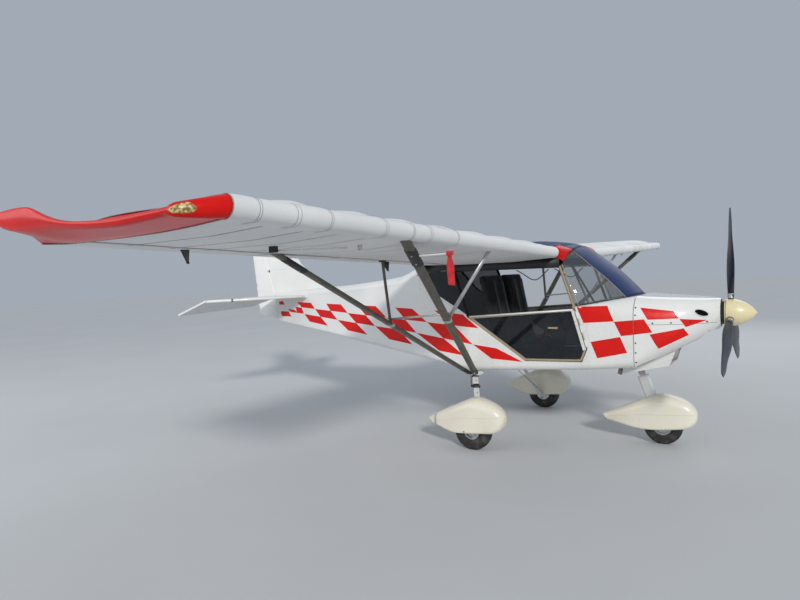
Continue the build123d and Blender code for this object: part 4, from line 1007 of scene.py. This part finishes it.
def jury_covers():
    """Jury struts: a flat grey bar in front, a bronze tube behind and a thin link between."""
    front_foot, rear_foot = along(FRONT_STRUT, FRONT_JURY), along(REAR_STRUT, REAR_JURY)
    front_top, rear_top = spot(1.515, -1.770, 1.744), spot(2.445, -1.770, 1.706)
    struts = Builder().sleeve(front_foot, front_top, 0.040, 0.0245)
    struts.rod(front_foot + vec(z=0.045), rear_foot + vec(z=0.045), 0.008, 12)
    piece = struts.finish("front jury struts", "jury_grey", slot="jury_grey", smooth=True, mirror=True)
    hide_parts("jury_struts")
    dark = Builder().sleeve(rear_foot, rear_top, 0.030, 0.0230)
    dark.finish("rear jury struts", "strut_bronze", slot="strut_bronze", mirror=True)
    ends = Builder().block(front_top, (0.050, 0.034, 0.022), 0.003).block(rear_top, (0.046, 0.034, 0.022), 0.003)
    ends.finish("jury strut ends", "trim_black", mirror=True)


# Spat tails: distance ahead of the axle, half width, bottom, top, top radius
MAIN_TAIL_ROWS = (
    (-0.153, 0.100, 0.152, 0.399, 0.072),
    (-0.299, 0.078, 0.181, 0.329, 0.052),
    (-0.400, 0.054, 0.199, 0.277, 0.030),
    (-0.450, 0.042, 0.208, 0.252, 0.020),
)
NOSE_TAIL_ROWS = (
    (-0.100, 0.104, 0.131, 0.414, 0.080),
    (-0.228, 0.094, 0.136, 0.360, 0.068),
    (-0.370, 0.070, 0.157, 0.289, 0.048),
    (-0.470, 0.044, 0.171, 0.240, 0.028),
    (-0.520, 0.034, 0.178, 0.218, 0.018),
)


def spat_tail(name, body, axle_station, y, rows, start, cut):
    """A smooth upper cover over the tail of a spat, down to its slanted end."""
    (low_x, low_z), (high_x, high_z) = cut
    rings = []
    for ahead, half, bottom, top, radius in finer(rows, 12):
        if ahead > start or ahead < high_x:
            continue
        lift = 0.0004 + 0.0016 * min(1.0, (start - ahead) / 0.05)
        half, top = half + lift, top + lift
        base = bottom + 0.5 * (top - radius - bottom)
        if ahead < low_x:
            base = max(base, low_z + (low_x - ahead) * (high_z - low_z) / (low_x - high_x) + 0.001)
        base = min(base, top - 0.001)
        turns = [pi * i / 16 for i in range(9)]
        line = [(-half, base)] + [(-half + radius * (1 - cos(t)), top - radius * (1 - sin(t))) for t in turns]
        line += [(-p, z) for p, z in line[::-1]]
        rings.append([spot(axle_station - ahead, y + p, max(z, base)) for p, z in line])
    made = Builder()
    made.bm.faces.new(made.grid(rings)[-1])
    return made.finish(name, "spat_cream", body, "spat_cream", smooth=True)


def spat_tails():
    SHOWN["main_spats"] = [NODES["main_spats"]]
    for word, side in SIDES.items():
        SHOWN["main_spats"].append(spat_tail(
            f"main spat tail {word}", "airframe", MAIN_AXLE, side * MAIN_Y, MAIN_TAIL_ROWS, -0.15,
            ((-0.366, 0.194), (-0.438, 0.254)),
        ))
    SHOWN["nose_spat"] = [NODES["nose_spat"], spat_tail(
        "nose spat tail", "nose_fork", NOSE_AXLE, 0, NOSE_TAIL_ROWS, -0.20, ((-0.468, 0.171), (-0.511, 0.222)),
    )]


def gear_details():
    leg = spot(2.310, -0.510, 0.640), spot(MAIN_AXLE, -0.768, MAIN_R)
    clamps = Builder().sleeve(along(leg, 0.26), along(leg, 0.33), 0.066, 0.034)
    clamps.sleeve(along(leg, 0.10), along(leg, 0.13), 0.066, 0.032)
    centre = along(leg, 0.295)
    clamps.rod(centre + vec(0.04), centre + vec(-0.05), 0.011, 10)
    clamps.path([centre + vec(-0.05), along(leg, 0.10) + vec(-0.045)], 0.004, 8)
    clamps.finish("leg clamps", "trim_black", smooth=True, mirror=True)
    bolts = Builder()
    for share in (0.12, 0.18, 0.40, 0.80, 0.86):
        for x in (0.012, -0.012):
            p = along(leg, share) + vec(x)
            bolts.rod(p + vec(0, -0.017, -0.006), p + vec(0, 0.017, 0.006), 0.006, 6)
    bolts.finish("leg bolts", "steel", mirror=True)
    seam = (0.0022, (1.842, 0.330), (1.93, 0.318), (2.20, 0.300), (2.50, 0.235))
    nose_seam = (0.0022, (0.462, 0.290), (0.60, 0.286), (0.90, 0.262), (1.19, 0.210))
    # A grey stripe across the rear of each main spat.
    tape = (0.022, (2.503, 0.180), (2.497, 0.315))
    for word, side in SIDES.items():
        side_film(f"spat tape {word}", ("main_spats",), side, [tape], "jury_grey", lift=0.0009, step=0.010)
        side_film(f"spat seam {word}", ("main_spats",), side, [seam], "seam_cream", lift=0.0006, step=0.010)
        hole = Builder().rod(spot(2.188, side * 0.994, 0.176), spot(2.188, side * 1.0008, 0.176), 0.0065, 14)
        hole.finish(f"spat drain {word}", "trim_black")
    for side in SIDES.values():
        side_film(
            f"nose spat seam {side}", ("nose_spat",), side, [nose_seam], "seam_cream", "nose_fork", 0.0006, 0.010
        )


def wheel_details(body, centre):
    """Tread ribs on a tyre and bolts, valve and painted discs on its rim."""
    radius, half = centre.z, 0.044
    tread = Builder()
    for y, r in ((-0.030, -0.0035), (-0.016, -0.0005), (0.0, 0.0), (0.016, -0.0005), (0.030, -0.0035)):
        deep, high = radius + r - 0.003, radius + r + 0.0006
        tread.grid([
            circle(centre + vec(y=y + dy), vec(reach), vec(z=reach), 72)
            for reach, dy in ((deep, -0.0048), (high, -0.0034), (high, 0.0034), (deep, 0.0048))
        ])
    bmesh.ops.remove_doubles(tread.bm, verts=tread.bm.verts, dist=1e-6)
    tread.finish(f"tread {body}", "tyre_black", body, smooth=True)
    caps, bolts = Builder(), Builder()
    for side in (-1, 1):
        face = centre + vec(y=side * (half - 0.0195))
        for p in circle(face, vec(0.046), vec(z=0.046), 6)[:-1]:
            bolts.rod(p, p + vec(y=side * 0.006), 0.0055, 6)
        caps.rod(face - vec(y=side * 0.002), face + vec(y=side * 0.004), 0.030, 24)
        bolts.rod(face + vec(y=side * 0.004), face + vec(y=side * 0.010), 0.011, 6)
    caps.finish(f"hub caps {body}", "spat_cream", body)
    bolts.rod(centre + vec(0.060, half), centre + vec(0.050, half - 0.016), 0.004, 8)
    bolts.finish(f"rim bolts {body}", "steel", body)


def all_wheels():
    for word, side in SIDES.items():
        wheel_details(f"main_wheel_{word}", spot(MAIN_AXLE, side * MAIN_Y, MAIN_R))
    wheel_details("nose_wheel", spot(NOSE_AXLE, 0, NOSE_R))


def cowl_details():
    skins = ("upper_cowl", "lower_cowl", "cabin_tub", "chin_scoop")
    joints_and_crease_shade = (
        (0.0045, (0.850, 0.745), (0.850, 1.31)), (0.0030, (0.275, 1.100), (0.845, 1.100)),
        # The last line runs where the chin scoop meets the cowl: a real joint, darkened as painted shade in that
        # crease.
        (0.0030, (0.560, 0.872), (0.840, 0.748)),
    )
    fasteners = [(0.836, z) for z in (0.79, 0.87, 0.95, 1.03, 1.11, 1.18, 1.24)]
    fasteners += [(s, 1.113) for s in (0.34, 0.45, 0.58, 0.71)]
    lean = radians(-25)
    tree = tree_of("upper_cowl")
    for word, side in SIDES.items():
        side_film(f"cowl joints {word}", skins, side, joints_and_crease_shade, "joint_dark", lift=0.0007, step=0.012)
        side_dots(f"cowl fasteners {word}", skins, side, fasteners, DOT, "trim_black", 0.0016, 0.0045)
        across, up = vec(cos(lean), 0, sin(lean)) * 0.051, vec(-sin(lean), 0, cos(lean)) * 0.025
        lip = []
        for p in circle(spot(0.375, side * 3, 1.185), across, up, 36):
            lip.append(tree.ray_cast(p, vec(y=-side))[0] or lip[-1])
        Builder().path(lip, 0.0048, 8).finish(f"intake lip {word}", "cowl_white", smooth=True)
        bars = Builder()
        for i in range(7):
            p = vec(at(0.375) - 0.042 + 0.014 * i, side * 0.215)
            bars.rod(p + vec(z=1.150), p + vec(z=1.222), 0.0012, 6)
        bars.finish(f"intake bars {word}", "trim_black")
    # A black disc behind the spinner: painted shade in the gap between spinner and cowl.
    plate = Builder().rod(spot(0.2565, 0, THRUST_Z), spot(0.238, 0, THRUST_Z), 0.098, 48)
    plate.finish("spinner gap shade disc", "trim_black")
    scoop = ((0.590, -0.187, 0.860), (0.636, -0.187, 0.727), (0.636, 0.187, 0.727), (0.590, 0.187, 0.860))
    Builder().path([spot(*p) for p in scoop], 0.0055, 10).finish("scoop lip", "cowl_white", smooth=True)
    core = Builder()
    for i in range(28):
        core.block(spot(0.646, -0.172 + 0.344 * i / 27, 0.926), (0.004, 0.0016, 0.136))
    for z in (0.868, 0.90, 0.932, 0.964, 0.99):
        core.rod(spot(0.645, -0.176, z), spot(0.645, 0.176, z), 0.0026, 8)
    core.finish("radiator core", "firewall_metal")


def spinner_details():
    seam = circle(spot(0.222, 0, THRUST_Z), vec(y=0.1108), vec(z=0.1108), 64)
    Builder().path(seam, 0.0022, 6).finish("spinner seam", "trim_black", "propeller", smooth=True)
    roots = Builder()
    hub = spot(0.189, 0, THRUST_Z)
    for number in range(3):
        angle = radians(2.9 + 120 * number)
        out = vec(0, sin(angle), cos(angle))
        roots.rod(hub + out * 0.118, hub + out * 0.150, 0.0245, 24, end_radius=0.0225)
        roots.rod(hub + out * 0.150, hub + out * 0.156, 0.0285, 24)
    roots.finish("blade roots", "jury_grey", "propeller")


def level_film(name, node, upper, tapes, body="airframe"):
    """Ribbons cast from above or below, at both sides: a width, then stations and spans."""
    film = Film((node,), (0, 0, -upper), 0.0008, 0.02)
    for side in (-1, 1):
        for width, *pairs in tapes:
            film.ribbon([spot(s, side * y, 0) for s, y in pairs], width)
    film.finish(name, "tape", body)


def tail_details():
    longerons = (
        (0.012, (2.955, 1.570), (3.20, 1.478), (4.433, 1.385), (5.36, 1.362)),
        (0.012, (2.955, 0.762), (4.433, 0.944), (5.36, 1.046)),
    )
    fin = (
        (0.014, (4.98, 1.722), (5.54, 1.722)), (0.014, (5.22, 1.985), (5.62, 1.985)),
        (0.014, (4.745, 1.520), (4.882, 1.650), (5.030, 1.776), (5.415, 2.190)),
    )
    rudder = [
        (0.013, (5.490 + (z0 - 1.062) * 0.283, z0), (5.80 + (z1 - 1.13) * 0.09, z1))
        for z0, z1 in ((1.25, 1.22), (1.44, 1.43), (1.64, 1.64), (1.85, 1.86), (2.04, 2.06))
    ]
    rudder.append((0.010, (5.795, 1.150), (5.872, 1.90), (5.890, 2.19)))
    for word, side in SIDES.items():
        side_film(f"longeron tapes {word}", ("rear_fuselage",), side, longerons, "tape", lift=0.0006)
        side_film(f"fin tapes {word}", ("fin",), side, fin, "tape")
        side_film(f"rudder tapes {word}", ("rudder",), side, rudder, "tape", "rudder")
    mark = Builder().block(spot(5.836, 0, 1.52), (0.010, 0.0225, 0.020), 0.002)
    mark.finish("rudder mark", "tip_red", "rudder")
    fixed = [(0.013, (s, y), (5.402, y)) for y, s in ((0.30, 4.945), (0.55, 5.08), (0.80, 5.205), (1.02, 5.318))]
    moving = [(0.013, (5.452, y), (s, y)) for y, s in ((0.30, 5.752), (0.55, 5.776), (0.80, 5.800), (1.02, 5.822))]
    moving.append((0.010, (5.738, 0.20), (5.846, 1.235)))
    for upper, word in ((1, "upper"), (-1, "lower")):
        level_film(f"stabiliser tapes {word}", "stabiliser", upper, fixed)
        level_film(f"elevator tapes {word}", "elevator", upper, moving, "elevator")
    edge = Builder().path([spot(4.800, -0.175, 1.362), spot(5.388, -1.176, 1.362)], 0.0155, 14)
    edge.finish("stabiliser front tubes", "pitot_white", smooth=True, mirror=True)
    dark = Builder()
    for z in (1.130, 1.700, 2.120):
        dark.block(spot(5.401 + (z - 1.062) * 0.283, 0, z), (0.022, 0.034, 0.030), 0.002)
    dark.finish("fin hinge fittings", "trim_black")
    dark = Builder().block(spot(5.250, -0.940, 1.362), (0.030, 0.030, 0.036), 0.003)
    dark.block(spot(5.396, -0.700, 1.362), (0.024, 0.036, 0.032), 0.002)
    dark.finish("stabiliser fittings", "trim_black", mirror=True)


def horns():
    for word, side in SIDES.items():
        for name, v in (("aileron", 3.46), ("flap", 1.52)):
            top, low = wing_spot(1.118, -0.020, v, side), wing_spot(1.126, -0.105, v, side)
            horn = Builder().plate([top, low, low + vec(-0.012), wing_spot(1.20, -0.018, v, side)], (0, 0.004, 0))
            horn.rod(low + vec(-0.006, -0.008, 0.006), low + vec(-0.006, 0.008, 0.006), 0.005, 8)
            horn.finish(f"{name} horn {word}", "trim_black", f"{name}_{word}")
        fixed = Builder().block(wing_spot(0.62, -0.062, 3.30, side), (0.050, 0.022, 0.034), 0.003)
        fixed.finish(f"pushrod bracket {word}", "trim_black")
        rod = Builder().rod(wing_spot(0.62, -0.072, 3.30, side), wing_spot(0.36, -0.062, 3.00, side), 0.006, 10)
        rod.finish(f"pushrod {word}", "pitot_white", smooth=True)


# Cabin


SEAT_VOXEL, SEAT_GROWTH, SEAT_FRAMES = 0.020, 0.010, 20


def seat_cover(word, side):
    """The seat's solid grown into a padded cover."""
    source = NODES["seats"]
    piece = link(f"seat cover {word}", source.data.copy())
    piece.matrix_world = source.matrix_world
    bm = bmesh.new()
    bm.from_mesh(piece.data)
    bmesh.ops.delete(bm, geom=[v for v in bm.verts if v.co.y * side < 0], context="VERTS")
    bm.to_mesh(piece.data)
    bm.free()
    remesh = piece.modifiers.new("remesh", "REMESH")
    remesh.mode = "VOXEL"
    remesh.voxel_size = SEAT_VOXEL
    apply_modifiers(piece)
    start = [v.co.copy() for v in piece.data.vertices]
    cloth = piece.modifiers.new("cloth", "CLOTH")
    cloth.settings.quality = 4
    cloth.settings.use_pressure = True
    cloth.settings.uniform_pressure_force = 4.0
    cloth.settings.effector_weights.gravity = 0.0
    cloth.settings.tension_stiffness = 12
    cloth.point_cache.frame_start = 1
    cloth.point_cache.frame_end = SEAT_FRAMES
    scene = bpy.context.scene
    for number in range(1, SEAT_FRAMES + 1):
        scene.frame_set(number)
    apply_modifiers(piece)
    scene.frame_set(1)
    for vertex, old in zip(piece.data.vertices, start):
        move = vertex.co - old
        if move.length > SEAT_GROWTH:
            vertex.co = old + move.normalized() * SEAT_GROWTH
    rounding = piece.modifiers.new("rounding", "SUBSURF")
    rounding.levels = 1
    apply_modifiers(piece)
    place(piece, "seat_black")
    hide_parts("seats")


def seat_details():
    belts, buckles = Builder(), Builder()
    shoulder = ((2.262, 1.500), (2.160, 1.492), (2.128, 1.320), (2.075, 1.050), (2.040, 0.905), (1.93, 0.880))
    lap = ((1.95, 0.055, 0.79), (1.90, 0.09, 0.882), (1.88, 0.245, 0.892), (1.90, 0.40, 0.882), (1.95, 0.435, 0.79))
    for side in (-1, 1):
        for y in (0.155, 0.335):
            points = [spot(s - 0.004, side * y, z + 0.006) for s, z in shoulder]
            wide = vec(y=0.023)
            for a, b in zip(points, points[1:]):
                normal = (b - a).normalized().cross(vec(y=1)).normalized()
                belts.plate([a - wide, b - wide, b + wide, a + wide], normal * 0.003)
            buckles.block(spot(2.085, side * y, 1.125), (0.016, 0.056, 0.042), 0.003)
        points = [spot(s, side * y, z) for s, y, z in lap]
        wide = vec(0.023)
        for a, b in zip(points, points[1:]):
            belts.plate([a - wide, b - wide, b + wide, a + wide], (0, 0, 0.003))
        buckles.block(spot(1.885, side * 0.245, 0.897), (0.060, 0.070, 0.018), 0.004)
    belts.finish("seat belts", "belt_black")
    buckles.finish("belt buckles", "steel")


DIALS = (
    (-0.40, 1.160, 0.040), (-0.30, 1.160, 0.040), (-0.20, 1.160, 0.040), (-0.10, 1.160, 0.040),
    (0.02, 1.165, 0.030), (0.10, 1.165, 0.030), (0.20, 1.160, 0.040), (0.30, 1.160, 0.040),
    (0.40, 1.155, 0.034), (-0.34, 1.092, 0.026), (-0.26, 1.092, 0.026), (0.26, 1.092, 0.026),
)


def cabin_details():
    levers = Builder().rod(spot(1.90, -0.02, 0.74), spot(1.80, -0.02, 0.930), 0.008, 12)
    levers.rod(spot(1.80, -0.02, 0.930), spot(1.765, -0.02, 0.985), 0.014, 14)
    levers.rod(spot(1.560, 0.0, 1.010), spot(1.556, 0.0, 1.030), 0.018, 14)
    levers.finish("trim lever", "handle_red", smooth=True)
    loops = Builder()
    for side in (-1, 1):
        line = []
        for share in [i / 24 for i in range(25)]:
            sag = 0.075 * sin(pi * share) * (1 + 0.3 * sin(5 * share))
            line.append(spot(1.55 + 0.30 * share, side * 0.508, 1.585 - sag))
        loops.path(line, 0.0045, 8)
    loops.finish("cabin cables", "cable_red", smooth=True)
    rims, faces, needles = Builder(), Builder(), Builder()
    x = at(1.250) - 0.001
    for y, z, r in DIALS:
        rims.path(circle(vec(x - 0.003, y, z), vec(y=r), vec(z=r), 28), 0.0032, 6)
        faces.rod((x, y, z), (x - 0.0022, y, z), r * 0.97, 28)
        for i in range(9):
            turn = radians(-130 + 32.5 * i)
            out = vec(0, sin(turn), cos(turn)) * r
            needles.rod(vec(x - 0.0026, y, z) + out * 0.74, vec(x - 0.0026, y, z) + out * 0.90, 0.0011, 4)
        turn = radians(-100 + 530 * y)
        out = vec(0, sin(turn), cos(turn)) * r
        needles.rod(vec(x - 0.0040, y, z) - out * 0.16, vec(x - 0.0040, y, z) + out * 0.66, 0.0013, 4)
    for y in (0.36, 0.40, 0.44, -0.18, -0.14, -0.10, 0.16, 0.20):
        rims.rod((x, y, 1.088), (x - 0.016, y, 1.092), 0.004, 10)
        rims.ball((x - 0.018, y, 1.0925), 0.0062)
    rims.finish("dial rims", "jury_grey", smooth=True)
    faces.finish("dial faces", "trim_black")
    needles.finish("dial needles", "pitot_white")
    Builder().block(spot(1.262, 0, 1.078), (0.012, 0.24, 0.030), 0.003).finish("switch plate", "trim_black")
    grips = Builder()
    for side in (-1, 1):
        grips.path([spot(1.5725, side * 0.1265, 1.088), spot(1.5775, side * 0.139, 1.130)], 0.0170, 14)
        for i in range(4):
            s, y, z = 0.001 * i, 0.0027 * i, 1.094 + 0.009 * i
            low, high = spot(1.5725 + s, side * (0.1275 + y), z), spot(1.5727 + s, side * (0.128 + y), z + 0.003)
            grips.rod(low, high, 0.0185, 14)
    grips.finish("stick grips", "trim_black", smooth=True)
    treads = Builder()
    for y in (-0.36, -0.17, 0.17, 0.36):
        for yy in [y - 0.042 + 0.021 * i for i in range(5)]:
            treads.rod(spot(1.060, yy - 0.005, 0.895), spot(1.060, yy + 0.005, 0.895), 0.0115, 12)
    treads.finish("pedal treads", "tyre_black")


def window_details():
    skins = ("quarter_windows", "cabin_tub")
    edges = (
        (0.018, (2.352, 1.166), (2.520, 1.260), (2.746, 1.382), (2.930, 1.606)),
        (0.016, (2.515, 1.645), (2.930, 1.645)),
    )
    bolts = (
        (2.40, 1.193), (2.47, 1.232), (2.54, 1.271), (2.61, 1.309), (2.68, 1.347), (2.75, 1.387), (2.80, 1.448),
        (2.85, 1.509), (2.90, 1.570),
    )
    for word, side in SIDES.items():
        side_film(f"window edge {word}", skins, side, edges, "pitot_white", lift=0.0009, step=0.014)
        side_dots(f"window bolts {word}", skins, side, bolts, 0.8 * DOT, "steel", 0.0018, 0.004)


def streamer():
    """The blank streamer below the tube's cover, hanging in soft folds."""
    long, wide, tube_y = 0.170, 0.044, -2.7
    rows = []
    for share in [i / 40 for i in range(41)]:
        row = []
        for across in [j / 12 - 0.5 for j in range(13)]:
            fold = 0.0022 * sin(5 * share + 2.4 * across) + 0.0028 * share * sin(9 * across + 3 * share)
            s = 1.321 + across * wide * (0.55 + 0.45 * min(1, share * 3)) - 0.008 * share
            row.append(spot(s, tube_y + fold, 1.6915 - long * share + 0.004 * across * share))
        rows.append(row)
    flag = grid_piece("streamer", rows)
    thicken(flag, 0.0012, 0)
    place(flag, "flag_red")
    cover = Builder().rod(spot(1.3345, tube_y, 1.697), spot(1.300, tube_y, 1.699), 0.0140, 20, end_radius=0.0125)
    cover.rod(spot(1.3335, tube_y, 1.6971), spot(1.3285, tube_y, 1.6973), 0.0155, 20)
    cover.block(spot(1.321, tube_y, 1.6885), (0.026, 0.005, 0.010), 0.001)
    cover = cover.finish("tube cover", "flag_red", slot="flag_red")
    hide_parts("pitot_flag")


# Tip sections: span, nose arc, then the upper and lower lines from the front to the tail
TIP_ROWS = (
    (
        4.0803, ((0.060, -0.042), (0.0, 0.0), (0.060, 0.048)),
        ((0.060, 0.048), (0.220, 0.089), (0.430, 0.105), (0.780, 0.088), (1.075, 0.044), (1.440, 0.003)),
        ((0.060, -0.042), (0.430, -0.050), (1.075, -0.030), (1.440, -0.003)),
    ),
    (
        4.175, ((0.090, -0.041), (0.030, -0.010), (0.090, 0.018)),
        (
            (0.090, 0.018), (0.228, 0.014), (0.440, 0.015), (0.606, 0.019), (0.745, 0.025), (0.919, 0.041),
            (1.063, 0.062), (1.200, 0.086), (1.350, 0.098), (1.490, 0.090),
        ),
        (
            (0.090, -0.041), (0.450, -0.046), (0.750, -0.040), (1.100, -0.020), (1.300, 0.012), (1.430, 0.048),
            (1.490, 0.082),
        ),
    ),
    (
        4.270, ((0.140, -0.036), (0.100, -0.021), (0.140, -0.006)),
        (
            (0.140, -0.006), (0.360, -0.001), (0.520, 0.003), (0.652, 0.011), (0.820, 0.030), (0.957, 0.060),
            (1.070, 0.100), (1.144, 0.132), (1.210, 0.151), (1.334, 0.157), (1.460, 0.155), (1.556, 0.148),
        ),
        (
            (0.140, -0.036), (0.310, -0.040), (0.477, -0.040), (0.656, -0.024), (0.854, 0.002), (1.064, 0.032),
            (1.300, 0.046), (1.460, 0.064), (1.530, 0.105), (1.556, 0.140),
        ),
    ),
)


def tip_section(nose, upper, lower):
    """Upper and lower lines of one tip section, from the nose to the tail."""
    front = arc_points(*nose, 16)
    high, low = (spread([Vector(p) for p in finer(points, 8)], 48)[1:] for points in (upper, lower))
    return front[8:] + high, front[8::-1] + low


def wing_tips():
    """Tip mouldings with a thick rounded rim that sweeps up at the rear."""
    sections = [tip_section(*row[1:]) for row in TIP_ROWS]
    first, end, soft = TIP_ROWS[0][0], TIP_ROWS[-1][0], 0.024
    spans = [first + (end - soft - first) * i / 12 for i in range(12)]
    spans += [end - soft + soft * sin(pi / 2 * i / 10) for i in range(11)]
    rings = []
    for v in spans:
        t = (v - first) / (end - first) * 2
        a, b, c = (t - 1) * (t - 2) / 2, t * (2 - t), t * (t - 1) / 2
        share = max(0.0, (v - (end - soft)) / soft)
        thin = max(0.02, sqrt(max(0.0, 1 - share * share)))
        upper, lower = (
            [p * a + q * b + r * c for p, q, r in zip(*(section[k] for section in sections))] for k in (0, 1)
        )
        middle = [(p + q) / 2 for p, q in zip(upper, lower)]
        pull = 0.016 * (1 - thin)
        upper, lower = ([m + (p - m) * thin for p, m in zip(line, middle)] for line in (upper, lower))
        rings.append([wing_spot(p.x + pull * (1 - p.x / 0.8), p.y, v) for p in upper + lower[:0:-1]])
    made = Builder()
    rings = [[made.bm.verts.new(p) for p in ring] for ring in rings]
    made.tube(rings)
    made.bm.faces.new(rings[0])
    made.bm.faces.new(rings[-1])
    tips = made.finish("wing tip mouldings", "chipped_red", slot="tip_red", smooth=True, mirror=True)
    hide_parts("wing_tips")
    tape = Builder()
    for index, lift in ((0, 0.0008), (1, -0.0008)):
        tape.path([wing_spot(p.x, p.y + lift, first + 0.002) for p in sections[0][index]], 0.0022, 6)
    tape.finish("tip joint tape", "stitching", smooth=True, mirror=True)


for step in (
    wing_panels, rear_deck, wing_cloth, surface_cloth, chequers, canopy, screen_details, door_details,
    strut_details, jury_covers, spat_tails, gear_details, all_wheels, cowl_details, spinner_details, tail_details,
    horns,
):
    step()
for word, side in SIDES.items():
    seat_cover(word, side)
for step in (seat_details, cabin_details, window_details, streamer, wing_tips):
    step()


# Stage: floor, world, camera and lights


def make_stage():
    floor = mesh_from("floor", [(-60, -60, 0), (60, -60, 0), (60, 60, 0), (-60, 60, 0)], [(0, 1, 2, 3)])
    made = Finish("pale floor", 0.75)
    made.colour(made.clouds(0.6, 3.0, 0.3, 0.7, (0.56, 0.57, 0.58), (0.59, 0.60, 0.61)))
    floor.data.materials.append(made.material)
    world = bpy.data.worlds.new("studio")
    bpy.context.scene.world = world
    world.use_nodes = True
    background = world.node_tree.nodes["Background"]
    background.inputs["Color"].default_value = (0.62, 0.70, 0.80, 1)
    background.inputs["Strength"].default_value = 0.58


CAMERA_AT = (3.1895, -5.5007, 1.5945)
CAMERA_YAW = -0.5961
CAMERA_PITCH = -0.0447
CAMERA_ROLL = -0.0400
FOCAL_PIXELS = 580.68
IMAGE_WIDTH = 800


def make_camera():
    forward = Vector(
        (sin(CAMERA_YAW) * cos(CAMERA_PITCH), cos(CAMERA_YAW) * cos(CAMERA_PITCH), sin(CAMERA_PITCH))
    )
    level = Vector((cos(CAMERA_YAW), -sin(CAMERA_YAW), 0))
    upright = level.cross(forward)
    right = cos(CAMERA_ROLL) * level + sin(CAMERA_ROLL) * upright
    up = cos(CAMERA_ROLL) * upright - sin(CAMERA_ROLL) * level
    data = bpy.data.cameras.new("camera")
    data.sensor_width = 36.0
    data.lens = FOCAL_PIXELS / IMAGE_WIDTH * data.sensor_width
    camera = bpy.data.objects.new("camera", data)
    bpy.context.scene.collection.objects.link(camera)
    camera.matrix_world = Matrix.Translation(CAMERA_AT) @ Matrix((right, up, -forward)).transposed().to_4x4()
    bpy.context.scene.camera = camera


def make_light(name, kind, place_at, aim, power, size, colour=(1, 1, 1)):
    data = bpy.data.lights.new(name, kind)
    data.energy = power
    data.color = colour
    if kind == "AREA":
        data.size = size
    else:
        data.angle = size
    light = bpy.data.objects.new(name, data)
    bpy.context.scene.collection.objects.link(light)
    light.location = place_at
    light.rotation_euler = (Vector(aim) - Vector(place_at)).to_track_quat("-Z", "Y").to_euler()


make_stage()
make_camera()
make_light("sun side", "SUN", (6.0, -6.5, 5.2), (0, 0, 1), 2.0, radians(7), (1.0, 0.97, 0.92))
make_light("tail fill", "AREA", (-7.0, -9.0, 6.0), (0, 0, 1), 260, 7.0)
make_light("far fill", "AREA", (3.0, 9.0, 7.0), (0, 0, 1), 170, 7.0)
bpy.context.scene.view_settings.view_transform = "Standard"
